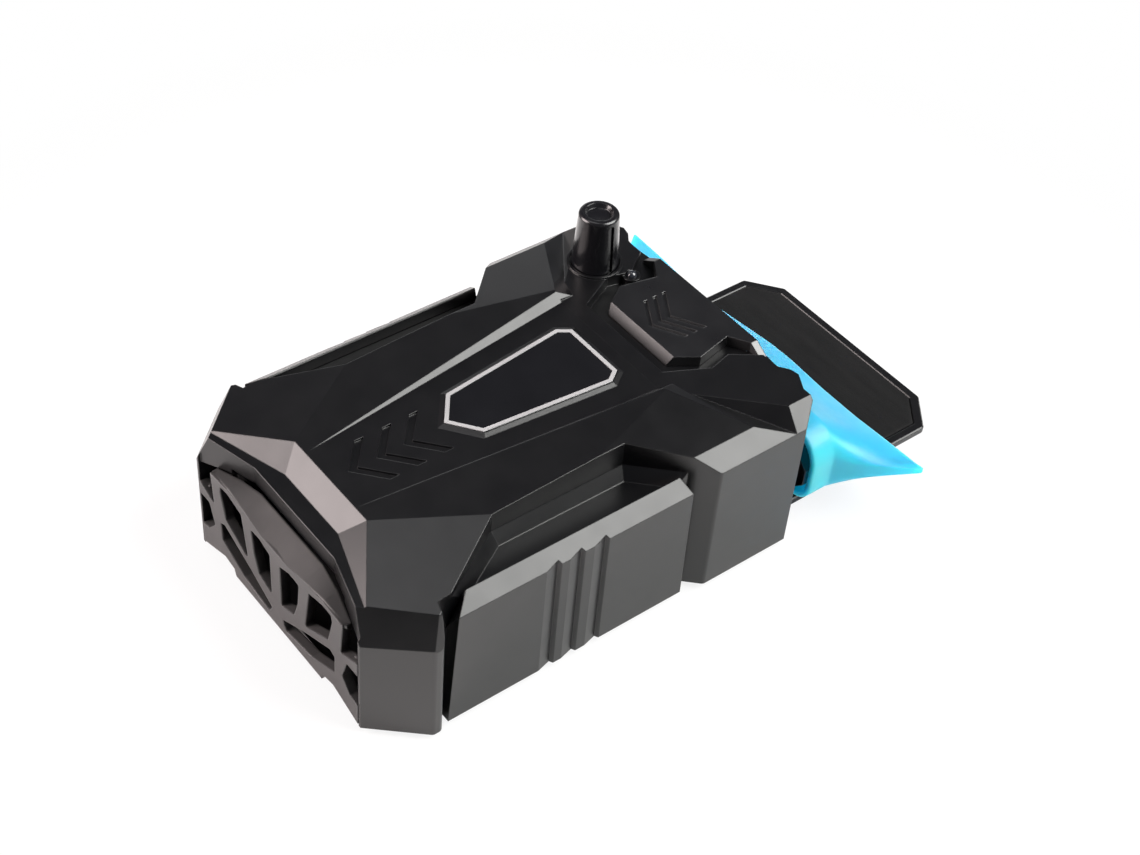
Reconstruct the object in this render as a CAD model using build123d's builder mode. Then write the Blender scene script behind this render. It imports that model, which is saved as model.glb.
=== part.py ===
from build123d import *
import os
from math import atan2, copysign, cos, sin, radians

os.makedirs("parts", exist_ok=True)

# Sizes in millimetres: x across, y from the front grille to the rear hood, z up

# Housing plan
block_half_width = 49.3
waist_half_width = 43.4
front_y = -67.3
front_corner_x = 37.4
front_chamfer_y = -54.0
pillar_back_y = -51.2
waist_front_y = -49.6
waist_rear_y = 26.4
block_front_y = 32.5
block_rear_y = 61.4
rear_corner_x = 45.0
rear_y = 66.6
wall = 2.3
rear_wall = 2.0
front_wall = 3.7
corner_wall = 4.2
side_corner_radius = 1.6
rear_corner_radius = 3.0
fit_gap = 0.1

# Housing heights
foot_height = 2.0
cover_thickness = 2.0
blank_top_z = 60.0
pocket_floor_z = 38.8
plateau_z = 48.7
roof_wall = 2.5
block_roof_wall = 2.9
ledge_wall = 3.5
cover_top_z = foot_height + cover_thickness

# Deck between the two shoulders
deck_front_x = 11.3
deck_front_y = -49.3
deck_front_z = 47.1
deck_rear_y = 36.0
deck_rear_x = 20.5
deck_slope = (plateau_z - deck_front_z) / (deck_rear_y - deck_front_y)

# Corner points of the top facets on the right half
shoulder_rise = 0.046
ridge_front_x = 31.8
ridge_front_y = -26.0
ridge_front_z = 48.2
ridge_rear_x = 22.7
ridge_rear_y = 34.4
ridge_rear_z = 51.1
brow_half_width = 16.0
brow_top_y = -51.1
bevel_side_y = -51.4
bevel_side_z = 42.3
bevel_side_inset = 2.8
bevel_front_x = 34.9
bevel_front_y = -63.8
band_low_z = 33.0
strip_inset = 5.2
strip_top_z = 47.8
strip_low_z = 43.4
strip_rear_y = 47.0
facet_rear_y = 58.1
ledge_z = 42.0
ledge_half_width = 11.8
ledge_rear_y = -56.6
plateau_front_x = 21.0
plateau_corner_x = 43.9
plateau_corner_y = 59.0
lug_inner_x = 29.5
lug_outer_x = 41.3
lug_tip_y = 69.3
lug_low_z = 39.0
shelf_inner_x = 19.5
shelf_end_x = 23.3
shelf_rear_y = 70.0
shelf_thickness = 3.0

# Brow wall over the grille
brow_edge_half_width = 18.0
brow_edge_y = -61.6
brow_end_y = -66.6
brow_edge_z = 36.7
brow_bend_x = 30.7
brow_bend_z = 33.4
brow_end_z = 31.6
opening_half_width = 36.6

# Finger pockets and grip panels
pocket_inner_x = 31.9
pocket_fold_z = 42.4
pocket_slope = 2.4
grip_outer_x = 47.9
grip_front_y = -48.7
grip_rear_y = 25.6
grip_bevel_z = 39.3
grip_corner_z = 33.0
grip_inner_drop = 0.4
grip_bevel_front_y = -46.6
grip_bevel_rear_y = 25.0
grip_ridge_x = 43.8
grip_ridge_z = 42.6
grip_ridge_front_y = -42.0
grip_ridge_rear_y = 23.4
groove_run = 4.0
groove_step = 0.6
groove_depth = 1.0
groove_places = [-17.0, -9.9, -2.4]
peg_radius = 2.0
peg_length = 2.0
peg_places = [-34.0, 14.0]
peg_z = 20.0

# Front grille
grille_thickness = 2.6
grille_tab_top_z = 24.9
grille_tab_height = 3.3
grille_tab_thickness = 3.0
grille_y = -67.5
opening_corner_radius = 0.7

# Chevrons and label on the deck
chevron_half_width = 7.9
chevron_sweep = 6.9
chevron_width = 2.6
chevron_depth = 0.6
chevron_places = [-45.9, -37.7, -29.7]
label_apex_y = -17.6
label_front_x = 8.2
label_front_y = -11.3
label_rear_x = 12.0
label_rear_y = 26.5
label_end_x = 9.5
label_end_y = 30.1
label_border = 1.1
label_pocket = 0.5
label_height = 0.2
label_plate_height = 0.1
label_seat_height = 0.6
label_seat_lip = 0.25
label_seat_foot = 1.55

# Rear recess and the sliding cap in it
recess_front_x = 16.0
recess_front_y = 40.0
recess_side_x = 21.9
recess_side_y = 52.0
recess_waist_x = 20.2
recess_waist_y = 59.0
recess_rear_x = 25.6
recess_floor_z = 45.4
cap_front_x = 12.2
cap_front_y = 46.2
cap_side_x = 16.5
cap_side_y = 52.8
cap_waist_x = 14.1
cap_waist_y = 64.1
cap_rear_x = 20.2
cap_rear_y = 67.6
cap_end_x = 24.5
cap_end_y = 69.2
cap_bevel = 1.5
cap_foot_grow = 0.6
cap_ear_edge = 0.6
cap_mark_half_width = 8.6
cap_mark_sweep = 5.2
cap_mark_width = 1.2
cap_mark_depth = 0.5
cap_mark_places = [48.6, 51.8, 55.0]

# Sliding intake: travel, flange, neck and tongue
slide_travel = 7.0
slide_gap = 0.3
flange_thickness = 2.0
flange_half_width = 43.9
flange_low_z = 4.3
flange_top_z = 35.2
duct_wall = 1.6
port_half_width = 42.0
port_low_z = 10.0
port_top_z = 27.0
neck_half_width = 44.8
neck_low_z = 9.0
neck_top_z = 28.0
neck_start_y = 70.0
neck_end_y = 78.0
neck_top_chamfer = 9.0
neck_low_chamfer = 5.0
tongue_half_width = 11.0
foot_flange_half_width = 36.0
foot_flange_thickness = 2.2

# Support plate and pad
plate_half_width = 39.7
plate_bottom_z = 0.2
plate_thickness = 2.0
plate_near_y = 68.6
plate_far_y = 133.5
plate_chamfer_x = 10.3
plate_chamfer_y = 8.2
pad_margin = 3.0
pad_start_y = 82.0
pad_recess = 0.8
pad_thickness = 1.0

# Silicone hood
hood_wall = 1.8
hood_gap = 0.15
collar_start_y = 71.0
collar_end_y = 78.5
mouth_y = 98.4
mouth_tip_x = 62.8
mouth_tip_z = 18.2
mouth_tip_height = 2.0
mouth_top_x = 36.0
mouth_top_z = 19.6
mouth_low_x = 42.0
mouth_low_z = 7.0

# Speed knob and its potentiometer
knob_x = -29.0
knob_y = 53.0
knob_base_z = 49.1
knob_top_z = 66.0
knob_base_radius = 6.6
knob_top_radius = 5.6
knob_shoulder = 1.0
knob_dish_radius = 3.9
knob_dish_depth = 1.2
knob_slot_width = 1.6
knob_slot_depth = 0.6
knob_slot_drop = 1.6
knob_ring_radius = 7.75
knob_ring_width = 0.85
knob_ring_height = 0.6
knob_skirt_depth = 2.6
pot_width = 9.6
pot_top_z = 45.0
pot_roof_z = 45.8
pot_pocket_radius = 6.9
shaft_radius = 3.0
shaft_clearance = 0.05
bush_radius = 3.5
bush_top_z = 50.4
nut_flats = 9.0
nut_height = 1.5
shaft_top_z = 62.0
shaft_foot = 4.0

# Indicator lamp
lamp_x = -19.6
lamp_y = 58.6
lamp_radius = 1.5
lamp_top_z = 49.4
lamp_foot_z = 43.4
lamp_boss_radius = 2.5
lamp_boss_z = 48.0
lead_radius = 0.25
lead_spacing = 1.27

# Control board and power socket
board_thickness = 1.6
board_z = 36.4
board_left_x = -45.6
board_right_x = -12.0
board_near_y = 40.0
board_far_y = 59.4
post_radius = 2.4
post_places = [(-35.0, 43.0), (-16.0, 43.0)]
socket_y = 50.0
socket_z = 31.2
socket_nose_radius = 4.0
socket_bore_radius = 3.0
socket_pin_radius = 1.0
socket_depth = 10.0
socket_length = 12.0
socket_width = 9.0
socket_height = 9.6

# Blower
scroll_clearance = 1.8
blower_side_gap = 0.6
scroll_start_angle = -80.0
scroll_turn = 280.0
scroll_steps = 14
scroll_wall = 1.5
outlet_y = -43.0
blower_floor = 1.9
blower_wall_top_z = 27.6
blower_cover_thickness = 1.6
inlet_radius = 23.0
inlet_ring_height = 1.2
inlet_ring_width = 1.6
ear_radius = 3.6
ear_z = 8.0
ear_thickness = 2.0
ear_arm_width = 7.4
ear_places = [(33.6, 34.0), (-33.6, 34.0), (-33.6, -35.0)]

# Impeller and motor
impeller_radius = 30.0
blade_count = 30
blade_inner_radius = 24.0
blade_thickness = 0.9
blade_lean = 24.0
blade_top_z = 25.6
impeller_plate_z = 8.0
impeller_plate = 1.2
rim_width = 1.2
rim_height = 1.6
hub_radius = 17.8
hub_top_z = 20.4
hub_wall = 1.7
magnet_thickness = 1.8
air_gap = 0.8
motor_shaft_radius = 1.5
bearing_radius = 3.4
bearing_clearance = 0.04
bearing_height = 2.6
bearing_low_z = 7.6
tube_wall = 1.2
tube_top_z = 17.0
clip_thickness = 0.5
clip_radius = 2.6
stator_low_z = 9.8
stator_height = 5.6
pole_count = 6
pole_width = 3.0
pole_tip = 1.6
coil_thickness = 1.6
motor_board_z = 7.2
motor_board_thickness = 0.8

# Divider, screws and feet
divider_thickness = 1.6
screw_radius = 1.25
screw_head_radius = 2.6
screw_head_height = 1.3
small_screw_radius = 0.95
small_head_radius = 1.9
small_head_height = 1.1
screw_gap = 0.05
screw_bite = 3.0
boss_radius = 3.4
base_screw_length = 12.0
base_screw_places = [(37.6, -54.4), (-37.6, -54.4), (42.6, 40.5), (-42.6, 40.5)]
foot_radius = 4.5
foot_recess = 0.6
foot_places = [(30.0, -56.0), (-30.0, -56.0), (38.0, 54.0), (-38.0, 54.0)]
plate_screw_places = [(-28.0, 74.0), (0.0, 74.0), (28.0, 74.0)]


# Sizes that follow from the ones above
cavity_half_width = waist_half_width - wall
scroll_start_radius = impeller_radius + scroll_clearance
scroll_end_radius = cavity_half_width - scroll_wall - blower_side_gap


def save(part, name):
    """Store a piece under its name, with the origin under the middle of the whole fan."""
    stored = part.moved(Location((0, -(grille_y + plate_far_y) / 2, 0)))
    stored.label = name
    export_step(stored, "parts/" + name + ".step")


def above_deck(y):
    """Height of the deck at a place along y."""
    return deck_front_z + deck_slope * (y - deck_front_y)


def plane_through(first, second, third):
    """Plane through three points, facing up."""
    first, second, third = Vector(first), Vector(second), Vector(third)
    normal = (second - first).cross(third - first)
    if normal.Z < 0:
        normal = normal * -1
    return Plane(origin=first, z_dir=normal)


def opposite(point):
    """The same point on the left half."""
    return (-point[0], point[1], point[2])


def both_halves(half):
    """Closed outline from the points of its right half."""
    return list(half) + [(-x, y) for x, y in reversed(half)]


def upright(y):
    """Drawing plane across the housing at a place along y: x right, z up."""
    return Plane.XZ.offset(-y)


def duct_outline(half_width, low, top, top_chamfer, low_chamfer):
    """Eight-sided duct section, wide and low."""
    return both_halves(
        [
            (half_width - top_chamfer, top),
            (half_width, top - top_chamfer),
            (half_width, low + low_chamfer),
            (half_width - low_chamfer, low),
        ]
    )


def scroll_points(extra):
    """Points of the scroll wall, moved outwards by a wall thickness."""
    points = []
    for step in range(scroll_steps + 1):
        share = step / scroll_steps
        radius = scroll_start_radius + (scroll_end_radius - scroll_start_radius) * share + extra
        angle = radians(scroll_start_angle - scroll_turn * share)
        points.append((radius * cos(angle), radius * sin(angle)))
    return points


# Points of the facets, from the sizes above
strip_x = block_half_width - strip_inset
brow_top_z = ridge_front_z + shoulder_rise * (brow_top_y - ridge_front_y)
brow_corner = (brow_half_width, brow_top_y, brow_top_z)
ridge_front = (ridge_front_x, ridge_front_y, ridge_front_z)
ridge_rear = (ridge_rear_x, ridge_rear_y, ridge_rear_z)
bevel_side = (block_half_width - bevel_side_inset, bevel_side_y, bevel_side_z)
ledge_corner = (ledge_half_width, ledge_rear_y, ledge_z)
strip_rear = (strip_x, strip_rear_y, strip_top_z)
facet_corner = (block_half_width, facet_rear_y, strip_low_z)
plateau_front = (plateau_front_x, deck_rear_y - 1.0, plateau_z)
plateau_corner = (plateau_corner_x, plateau_corner_y, plateau_z)
chamfer_middle = ((front_corner_x + block_half_width) / 2, (front_y + front_chamfer_y) / 2)

shoulder_front_plane = plane_through(
    ridge_front, opposite(ridge_front), (0, 0, ridge_front_z - shoulder_rise * ridge_front_y)
)
shoulder_side_plane = plane_through(
    ridge_rear, (ridge_rear_x, 0, ridge_rear_z), (strip_x, 0, strip_top_z)
)
strip_plane = plane_through(
    (strip_x, 0, strip_top_z), (strip_x, 10, strip_top_z), (block_half_width, 0, strip_low_z)
)
rear_facet_plane = plane_through(ridge_rear, strip_rear, facet_corner)
bevel_plane = plane_through(brow_corner, ridge_front, bevel_side)
bevel_front_z = bevel_plane.origin.Z - (
    bevel_plane.z_dir.X * (bevel_front_x - bevel_plane.origin.X)
    + bevel_plane.z_dir.Y * (bevel_front_y - bevel_plane.origin.Y)
) / bevel_plane.z_dir.Z
bevel_front = (bevel_front_x, bevel_front_y, bevel_front_z)
band_plane = plane_through(
    bevel_side, bevel_front, (chamfer_middle[0], chamfer_middle[1], band_low_z)
)
deck_plane = Plane(
    origin=(0, deck_front_y, deck_front_z), x_dir=(1, 0, 0), z_dir=(0, -deck_slope, 1)
)
wedge_plane = plane_through(
    (deck_front_x, deck_front_y, deck_front_z),
    ridge_rear,
    (deck_rear_x, deck_rear_y, above_deck(deck_rear_y)),
)
brow_front_plane = plane_through(brow_corner, opposite(brow_corner), ledge_corner)
brow_side_plane = plane_through(brow_corner, bevel_front, ledge_corner)
plateau_wall_plane = plane_through(plateau_front, plateau_corner, facet_corner)
plateau_chamfer_plane = plane_through(
    plateau_corner, (plateau_corner_x, rear_y, plateau_z), facet_corner
)


def mirrored_plane(plane):
    """The same plane on the left half."""
    origin = plane.origin
    normal = plane.z_dir
    return Plane(origin=(-origin.X, origin.Y, origin.Z), z_dir=(-normal.X, normal.Y, normal.Z))


# Plan outlines of the housing
body_outline = both_halves(
    [
        (front_corner_x, front_y),
        (block_half_width, front_chamfer_y),
        (block_half_width, pillar_back_y),
        (waist_half_width, waist_front_y),
        (waist_half_width, waist_rear_y),
        (block_half_width, block_front_y),
        (block_half_width, block_rear_y),
        (rear_corner_x, rear_y),
    ]
)
room_half_width = block_half_width - wall
room_front_y = block_front_y + wall
rear_inner_y = rear_y - rear_wall
front_inner_y = front_y + front_wall
cavity_corner_y = front_chamfer_y - corner_wall


def cavity_outline(gap):
    """Inside of the walls at the bottom, drawn in by a gap."""
    return both_halves(
        [
            (opening_half_width - gap, front_inner_y + gap),
            (cavity_half_width - gap, cavity_corner_y + gap),
            (cavity_half_width - gap, waist_rear_y + 1.6),
            (room_half_width - gap, room_front_y + gap),
            (room_half_width - gap, block_rear_y - 0.6),
            (rear_corner_x - 0.6 - gap, rear_inner_y - gap),
        ]
    )


def chevron(apex, half_width, sweep, width):
    """Flat chevron whose point is on the middle line, facing the front."""
    with BuildSketch() as mark:
        with BuildLine():
            Polyline(
                (0, apex),
                (half_width, apex + sweep),
                (half_width, apex + sweep + width),
                (0, apex + width),
                (-half_width, apex + sweep + width),
                (-half_width, apex + sweep),
                close=True,
            )
        make_face()
    return mark.sketch


lug_root_y = rear_y - rear_wall / 2
lug_outline = [
    (lug_inner_x, lug_root_y),
    (lug_inner_x, rear_y),
    (lug_inner_x + 1.6, rear_y + 0.2),
    (lug_inner_x + 4.2, lug_tip_y - 0.6),
    (lug_outer_x - 4.9, lug_tip_y),
    (lug_outer_x - 1.7, rear_y + 0.9),
    (lug_outer_x, rear_y),
    (lug_outer_x, lug_root_y),
]
shelf_outline = [
    (shelf_inner_x, lug_root_y),
    (shelf_inner_x, shelf_rear_y),
    (shelf_end_x, shelf_rear_y),
    (lug_inner_x - 1.0, shelf_rear_y - 0.5),
    (lug_inner_x + 1.6, shelf_rear_y - 2.0),
    (lug_inner_x + 1.6, lug_root_y),
]
label_points = [
    (0, label_apex_y - deck_front_y),
    (label_front_x, label_front_y - deck_front_y),
    (label_rear_x, label_rear_y - deck_front_y),
    (label_end_x, label_end_y - deck_front_y),
    (-label_end_x, label_end_y - deck_front_y),
    (-label_rear_x, label_rear_y - deck_front_y),
    (-label_front_x, label_front_y - deck_front_y),
]

# Low seat with sloping sides that carries the label
with BuildPart() as label_seat:
    with BuildSketch(deck_plane.offset(-label_pocket)):
        with BuildLine():
            Polyline(*label_points, close=True)
        make_face()
        offset(amount=label_seat_foot, kind=Kind.INTERSECTION)
    extrude(amount=label_pocket)
    with BuildSketch(deck_plane):
        with BuildLine():
            Polyline(*label_points, close=True)
        make_face()
        offset(amount=label_seat_foot, kind=Kind.INTERSECTION)
    with BuildSketch(deck_plane.offset(label_seat_height)):
        with BuildLine():
            Polyline(*label_points, close=True)
        make_face()
        offset(amount=label_seat_lip, kind=Kind.INTERSECTION)
    loft(ruled=True)

# Blanks that cut the top shape
with BuildPart() as deck_cutter:
    with Locations((0, 0, blank_top_z)):
        Box(2 * strip_x, 4 * rear_y, 2 * (blank_top_z - ledge_z))
    split(bisect_by=deck_plane, keep=Keep.TOP)
    split(bisect_by=wedge_plane, keep=Keep.TOP)
    split(bisect_by=mirrored_plane(wedge_plane), keep=Keep.TOP)
    with Locations((0, plateau_front[1], plateau_z)):
        Box(
            2 * plateau_front_x,
            rear_y,
            blank_top_z - plateau_z,
            align=(Align.CENTER, Align.MIN, Align.MIN),
        )

with BuildPart() as facet_cutter:
    with Locations((deck_rear_x, 0, pocket_floor_z)):
        Box(
            block_half_width,
            4 * rear_y,
            blank_top_z - pocket_floor_z,
            align=(Align.MIN, Align.CENTER, Align.MIN),
        )
    split(bisect_by=rear_facet_plane, keep=Keep.TOP)
    mirror(about=Plane.YZ)

with BuildPart() as brow_cutter:
    with Locations((0, brow_top_y + 4 * ledge_half_width - 2 * rear_y, ledge_z)):
        Box(
            4 * rear_y,
            4 * rear_y,
            blank_top_z - ledge_z,
            align=(Align.CENTER, Align.CENTER, Align.MIN),
        )
    split(bisect_by=brow_front_plane, keep=Keep.TOP)
    split(bisect_by=brow_side_plane, keep=Keep.TOP)
    split(bisect_by=mirrored_plane(brow_side_plane), keep=Keep.TOP)

with BuildPart() as rear_block:
    with BuildSketch(Plane.XY.offset(pocket_floor_z)):
        with BuildLine():
            Polyline(
                *both_halves(
                    [
                        (plateau_front_x, deck_rear_y - 1.0),
                        (block_half_width, facet_rear_y),
                        (block_half_width, block_rear_y),
                        (rear_corner_x, rear_y),
                    ]
                ),
                close=True,
            )
        make_face()
    extrude(amount=plateau_z - pocket_floor_z)
    for side_plane in (plateau_wall_plane, plateau_chamfer_plane):
        split(bisect_by=side_plane, keep=Keep.BOTTOM)
        split(bisect_by=mirrored_plane(side_plane), keep=Keep.BOTTOM)


# Finger pockets: upright walls down to a fold, then walls that slope in to the floor
block_face_slope = (block_front_y - waist_rear_y) / (block_half_width - waist_half_width)
pocket_outline = [
    (pocket_inner_x, ridge_front_y),
    (bevel_side[0], pillar_back_y),
    (block_half_width + wall, pillar_back_y),
    (block_half_width + wall, block_front_y + wall * block_face_slope),
    (
        pocket_inner_x,
        waist_rear_y - (waist_half_width - pocket_inner_x) * block_face_slope,
    ),
]
with BuildPart() as pocket_cutter:
    with BuildSketch(Plane.XY.offset(pocket_fold_z)):
        with BuildLine():
            Polyline(*pocket_outline, close=True)
        make_face()
    with BuildSketch(Plane.XY.offset(pocket_floor_z)):
        with BuildLine():
            Polyline(*pocket_outline, close=True)
        make_face()
        offset(amount=-pocket_slope, kind=Kind.INTERSECTION, mode=Mode.REPLACE)
    loft(ruled=True)
    with BuildSketch(Plane.XY.offset(pocket_fold_z)):
        with BuildLine():
            Polyline(*pocket_outline, close=True)
        make_face()
    extrude(amount=blank_top_z - pocket_fold_z)
    mirror(about=Plane.YZ)


# Upper shell
with BuildPart() as upper_shell:
    with BuildSketch(Plane.XY.offset(foot_height)):
        with BuildLine():
            Polyline(*body_outline, close=True)
        make_face()
        waist_corners = vertices().filter_by(
            lambda v: abs(abs(v.X) - block_half_width) < fit_gap and v.Y < block_rear_y - wall
        )
        rear_corners = vertices().filter_by(lambda v: v.Y > block_rear_y - wall)
        fillet(waist_corners, side_corner_radius)
        fillet(rear_corners, rear_corner_radius)
    extrude(amount=blank_top_z - foot_height)
    split(bisect_by=shoulder_front_plane, keep=Keep.BOTTOM)
    for facet in (shoulder_side_plane, strip_plane, bevel_plane, band_plane):
        split(bisect_by=facet, keep=Keep.BOTTOM)
        split(bisect_by=mirrored_plane(facet), keep=Keep.BOTTOM)
    add(facet_cutter.part, mode=Mode.SUBTRACT)
    add(deck_cutter.part, mode=Mode.SUBTRACT)
    add(rear_block.part)
    add(brow_cutter.part, mode=Mode.SUBTRACT)
    # sloping outer sides of the front pillars
    with BuildSketch(upright(2 * front_y)):
        with BuildLine():
            Polyline(
                (block_half_width, band_low_z),
                (block_half_width - bevel_side_inset, bevel_side_z),
                (block_half_width - bevel_side_inset, blank_top_z),
                (block_half_width + wall, blank_top_z),
                (block_half_width + wall, band_low_z),
                close=True,
            )
        make_face()
        mirror(about=Plane.YZ)
    extrude(amount=2 * front_y - waist_front_y, mode=Mode.SUBTRACT)
    # finger pockets
    add(pocket_cutter.part, mode=Mode.SUBTRACT)
    # room inside: low sides, high middle, rear block and front nozzle
    side_roof_z = pocket_floor_z - roof_wall
    with BuildSketch(Plane.XY.offset(foot_height)):
        with BuildLine():
            Polyline(*cavity_outline(0), close=True)
        make_face()
    extrude(amount=side_roof_z - foot_height, mode=Mode.SUBTRACT)
    middle_half_width = pocket_inner_x - roof_wall
    middle_roof_z = deck_front_z - roof_wall
    middle_front_y = ledge_rear_y + 5.0
    middle_rear_y = recess_front_y - 2.0 * wall
    with Locations((0, (middle_front_y + middle_rear_y) / 2, foot_height)):
        Box(
            2 * middle_half_width,
            middle_rear_y - middle_front_y,
            middle_roof_z - foot_height,
            align=(Align.CENTER, Align.CENTER, Align.MIN),
            mode=Mode.SUBTRACT,
        )
    room_roof_z = strip_low_z - block_roof_wall
    with BuildSketch(Plane.XY.offset(foot_height)):
        with BuildLine():
            Polyline(
                *both_halves(
                    [
                        (room_half_width, room_front_y),
                        (room_half_width, block_rear_y - 0.6),
                        (rear_corner_x - 0.6, rear_inner_y),
                    ]
                ),
                close=True,
            )
        make_face()
    extrude(amount=room_roof_z - foot_height, mode=Mode.SUBTRACT)
    front_roof_z = ledge_z - ledge_wall
    with BuildSketch(Plane.XY.offset(foot_height)):
        with BuildLine():
            Polyline(
                *both_halves(
                    [
                        (brow_edge_half_width, brow_edge_y + wall),
                        (opening_half_width - wall, brow_end_y + 1.8 * wall),
                        (opening_half_width, cavity_corner_y),
                        (opening_half_width, waist_front_y),
                    ]
                ),
                close=True,
            )
        make_face()
    extrude(amount=front_roof_z - foot_height, mode=Mode.SUBTRACT)
    # front opening: set back under the brow, then through to the nozzle
    with BuildSketch(Plane.XY):
        with BuildLine():
            Polyline(
                *both_halves(
                    [
                        (opening_half_width, 2 * front_y),
                        (opening_half_width, brow_end_y),
                        (brow_edge_half_width, brow_edge_y),
                    ]
                ),
                close=True,
            )
        make_face()
    extrude(amount=blank_top_z, mode=Mode.SUBTRACT)
    with BuildSketch(upright(2 * front_y)):
        with BuildLine():
            Polyline(
                *both_halves(
                    [
                        (opening_half_width, 0),
                        (opening_half_width, brow_end_z),
                        (brow_bend_x, brow_bend_z),
                        (brow_edge_half_width, brow_edge_z),
                    ]
                ),
                close=True,
            )
        make_face()
    extrude(amount=2 * front_y - ledge_rear_y, mode=Mode.SUBTRACT)
    # rear opening that the neck slides in, and room for the flange when raised
    with BuildSketch(upright(rear_inner_y - rear_wall)):
        with Locations((0, (port_low_z + port_top_z + slide_travel) / 2)):
            Rectangle(
                2 * port_half_width + 1.0, port_top_z - port_low_z + slide_travel + 1.0
            )
    extrude(amount=-3 * rear_wall, mode=Mode.SUBTRACT)
    raised_room_z = flange_top_z + slide_travel + 0.5
    flange_y = rear_inner_y - slide_gap - flange_thickness
    with Locations((0, rear_inner_y, room_roof_z - 2.0)):
        Box(
            2 * (flange_half_width + slide_gap),
            flange_thickness + 2 * slide_gap,
            raised_room_z - room_roof_z + 2.0,
            align=(Align.CENTER, Align.MAX, Align.MIN),
            mode=Mode.SUBTRACT,
        )
    # recess for the cap, open to the rear, with a slot for the tongue
    with BuildSketch(Plane.XY.offset(recess_floor_z)):
        with BuildLine():
            Polyline(
                *both_halves(
                    [
                        (recess_front_x, recess_front_y),
                        (recess_side_x, recess_side_y),
                        (recess_waist_x, recess_waist_y),
                        (recess_rear_x, rear_y),
                        (recess_rear_x, rear_y + wall),
                    ]
                ),
                close=True,
            )
        make_face()
    extrude(amount=blank_top_z - recess_floor_z, mode=Mode.SUBTRACT)
    with Locations((0, rear_inner_y, room_roof_z)):
        Box(
            2 * (tongue_half_width + slide_gap),
            flange_thickness + 2 * slide_gap,
            blank_top_z - room_roof_z,
            align=(Align.CENTER, Align.MAX, Align.MIN),
            mode=Mode.SUBTRACT,
        )
    # rails that keep the flange against the rear wall
    rail_inner_x = port_half_width - 3.0
    for side in (-1, 1):
        rail_x = side * (rail_inner_x + room_half_width) / 2
        with Locations((rail_x, flange_y - slide_gap, cover_top_z + fit_gap)):
            Box(
                room_half_width - rail_inner_x + 1.0,
                rear_wall,
                room_roof_z - cover_top_z + 0.5,
                align=(Align.CENTER, Align.MAX, Align.MIN),
            )
    # bosses for the base screws and posts for the board
    boss_bottom_z = cover_top_z + fit_gap
    for place in base_screw_places:
        boss_top_z = room_roof_z if place[1] > 0 else side_roof_z
        with BuildSketch(Plane.XY.offset(boss_bottom_z)):
            with Locations(place):
                Circle(boss_radius)
        extrude(amount=boss_top_z + wall / 2 - boss_bottom_z)
    with BuildSketch(Plane.XY.offset(cover_top_z)):
        with Locations(*base_screw_places):
            Circle(screw_radius + screw_gap)
    extrude(amount=base_screw_length, mode=Mode.SUBTRACT)
    board_top_z = board_z + board_thickness
    with BuildSketch(Plane.XY.offset(board_top_z + fit_gap)):
        with Locations(*post_places):
            Circle(post_radius)
    extrude(amount=room_roof_z - board_top_z + 0.5)
    with BuildSketch(Plane.XY.offset(board_top_z)):
        with Locations(*post_places):
            Circle(small_screw_radius + screw_gap)
    extrude(amount=room_roof_z - board_top_z + 1.5, mode=Mode.SUBTRACT)
    # seat of the potentiometer, its hole and the raised ring around the knob
    with BuildSketch(Plane.XY.offset(room_roof_z - 1.0)):
        with Locations((knob_x, knob_y)):
            Circle(pot_pocket_radius)
    extrude(amount=pot_roof_z - room_roof_z + 1.0, mode=Mode.SUBTRACT)
    with BuildSketch(Plane.XY.offset(plateau_z)):
        with Locations((knob_x, knob_y)):
            Circle(knob_ring_radius)
            Circle(knob_ring_radius - knob_ring_width, mode=Mode.SUBTRACT)
    extrude(amount=knob_ring_height)
    with BuildSketch(Plane.XY.offset(pot_top_z)):
        with Locations((knob_x, knob_y)):
            Circle(bush_radius + fit_gap)
    extrude(amount=plateau_z - pot_top_z + 1.0, mode=Mode.SUBTRACT)
    # boss and hole of the indicator lamp
    with BuildSketch(Plane.XY.offset(recess_floor_z)):
        with Locations((lamp_x, lamp_y)):
            Circle(lamp_boss_radius)
    extrude(amount=lamp_boss_z - recess_floor_z)
    with BuildSketch(Plane.XY.offset(room_roof_z - 1.0)):
        with Locations((lamp_x, lamp_y)):
            Circle(lamp_radius + fit_gap)
    extrude(amount=lamp_boss_z - room_roof_z + 2.0, mode=Mode.SUBTRACT)
    # power socket hole in the left wall
    with BuildSketch(Plane.YZ.offset(-block_half_width - 1.0)):
        with Locations((socket_y, socket_z)):
            Circle(socket_nose_radius + fit_gap)
    extrude(amount=wall + 2.0, mode=Mode.SUBTRACT)
    # peg holes of the grip panels
    with BuildSketch(Plane.YZ.offset(-waist_half_width - 1.0)):
        with Locations(*[(place, peg_z) for place in peg_places]):
            Circle(peg_radius + screw_gap)
    extrude(amount=2 * waist_half_width + 2.0, mode=Mode.SUBTRACT)
    # lugs on the rear wall, and the shelf between them and the recess
    with BuildSketch(Plane.XY.offset(lug_low_z)):
        with BuildLine():
            Polyline(*lug_outline, close=True)
        make_face()
        mirror(about=Plane.YZ)
    extrude(amount=plateau_z - lug_low_z)
    with BuildSketch(Plane.XY.offset(recess_floor_z - shelf_thickness)):
        with BuildLine():
            Polyline(*shelf_outline, close=True)
        make_face()
        mirror(about=Plane.YZ)
    extrude(amount=shelf_thickness)
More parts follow.
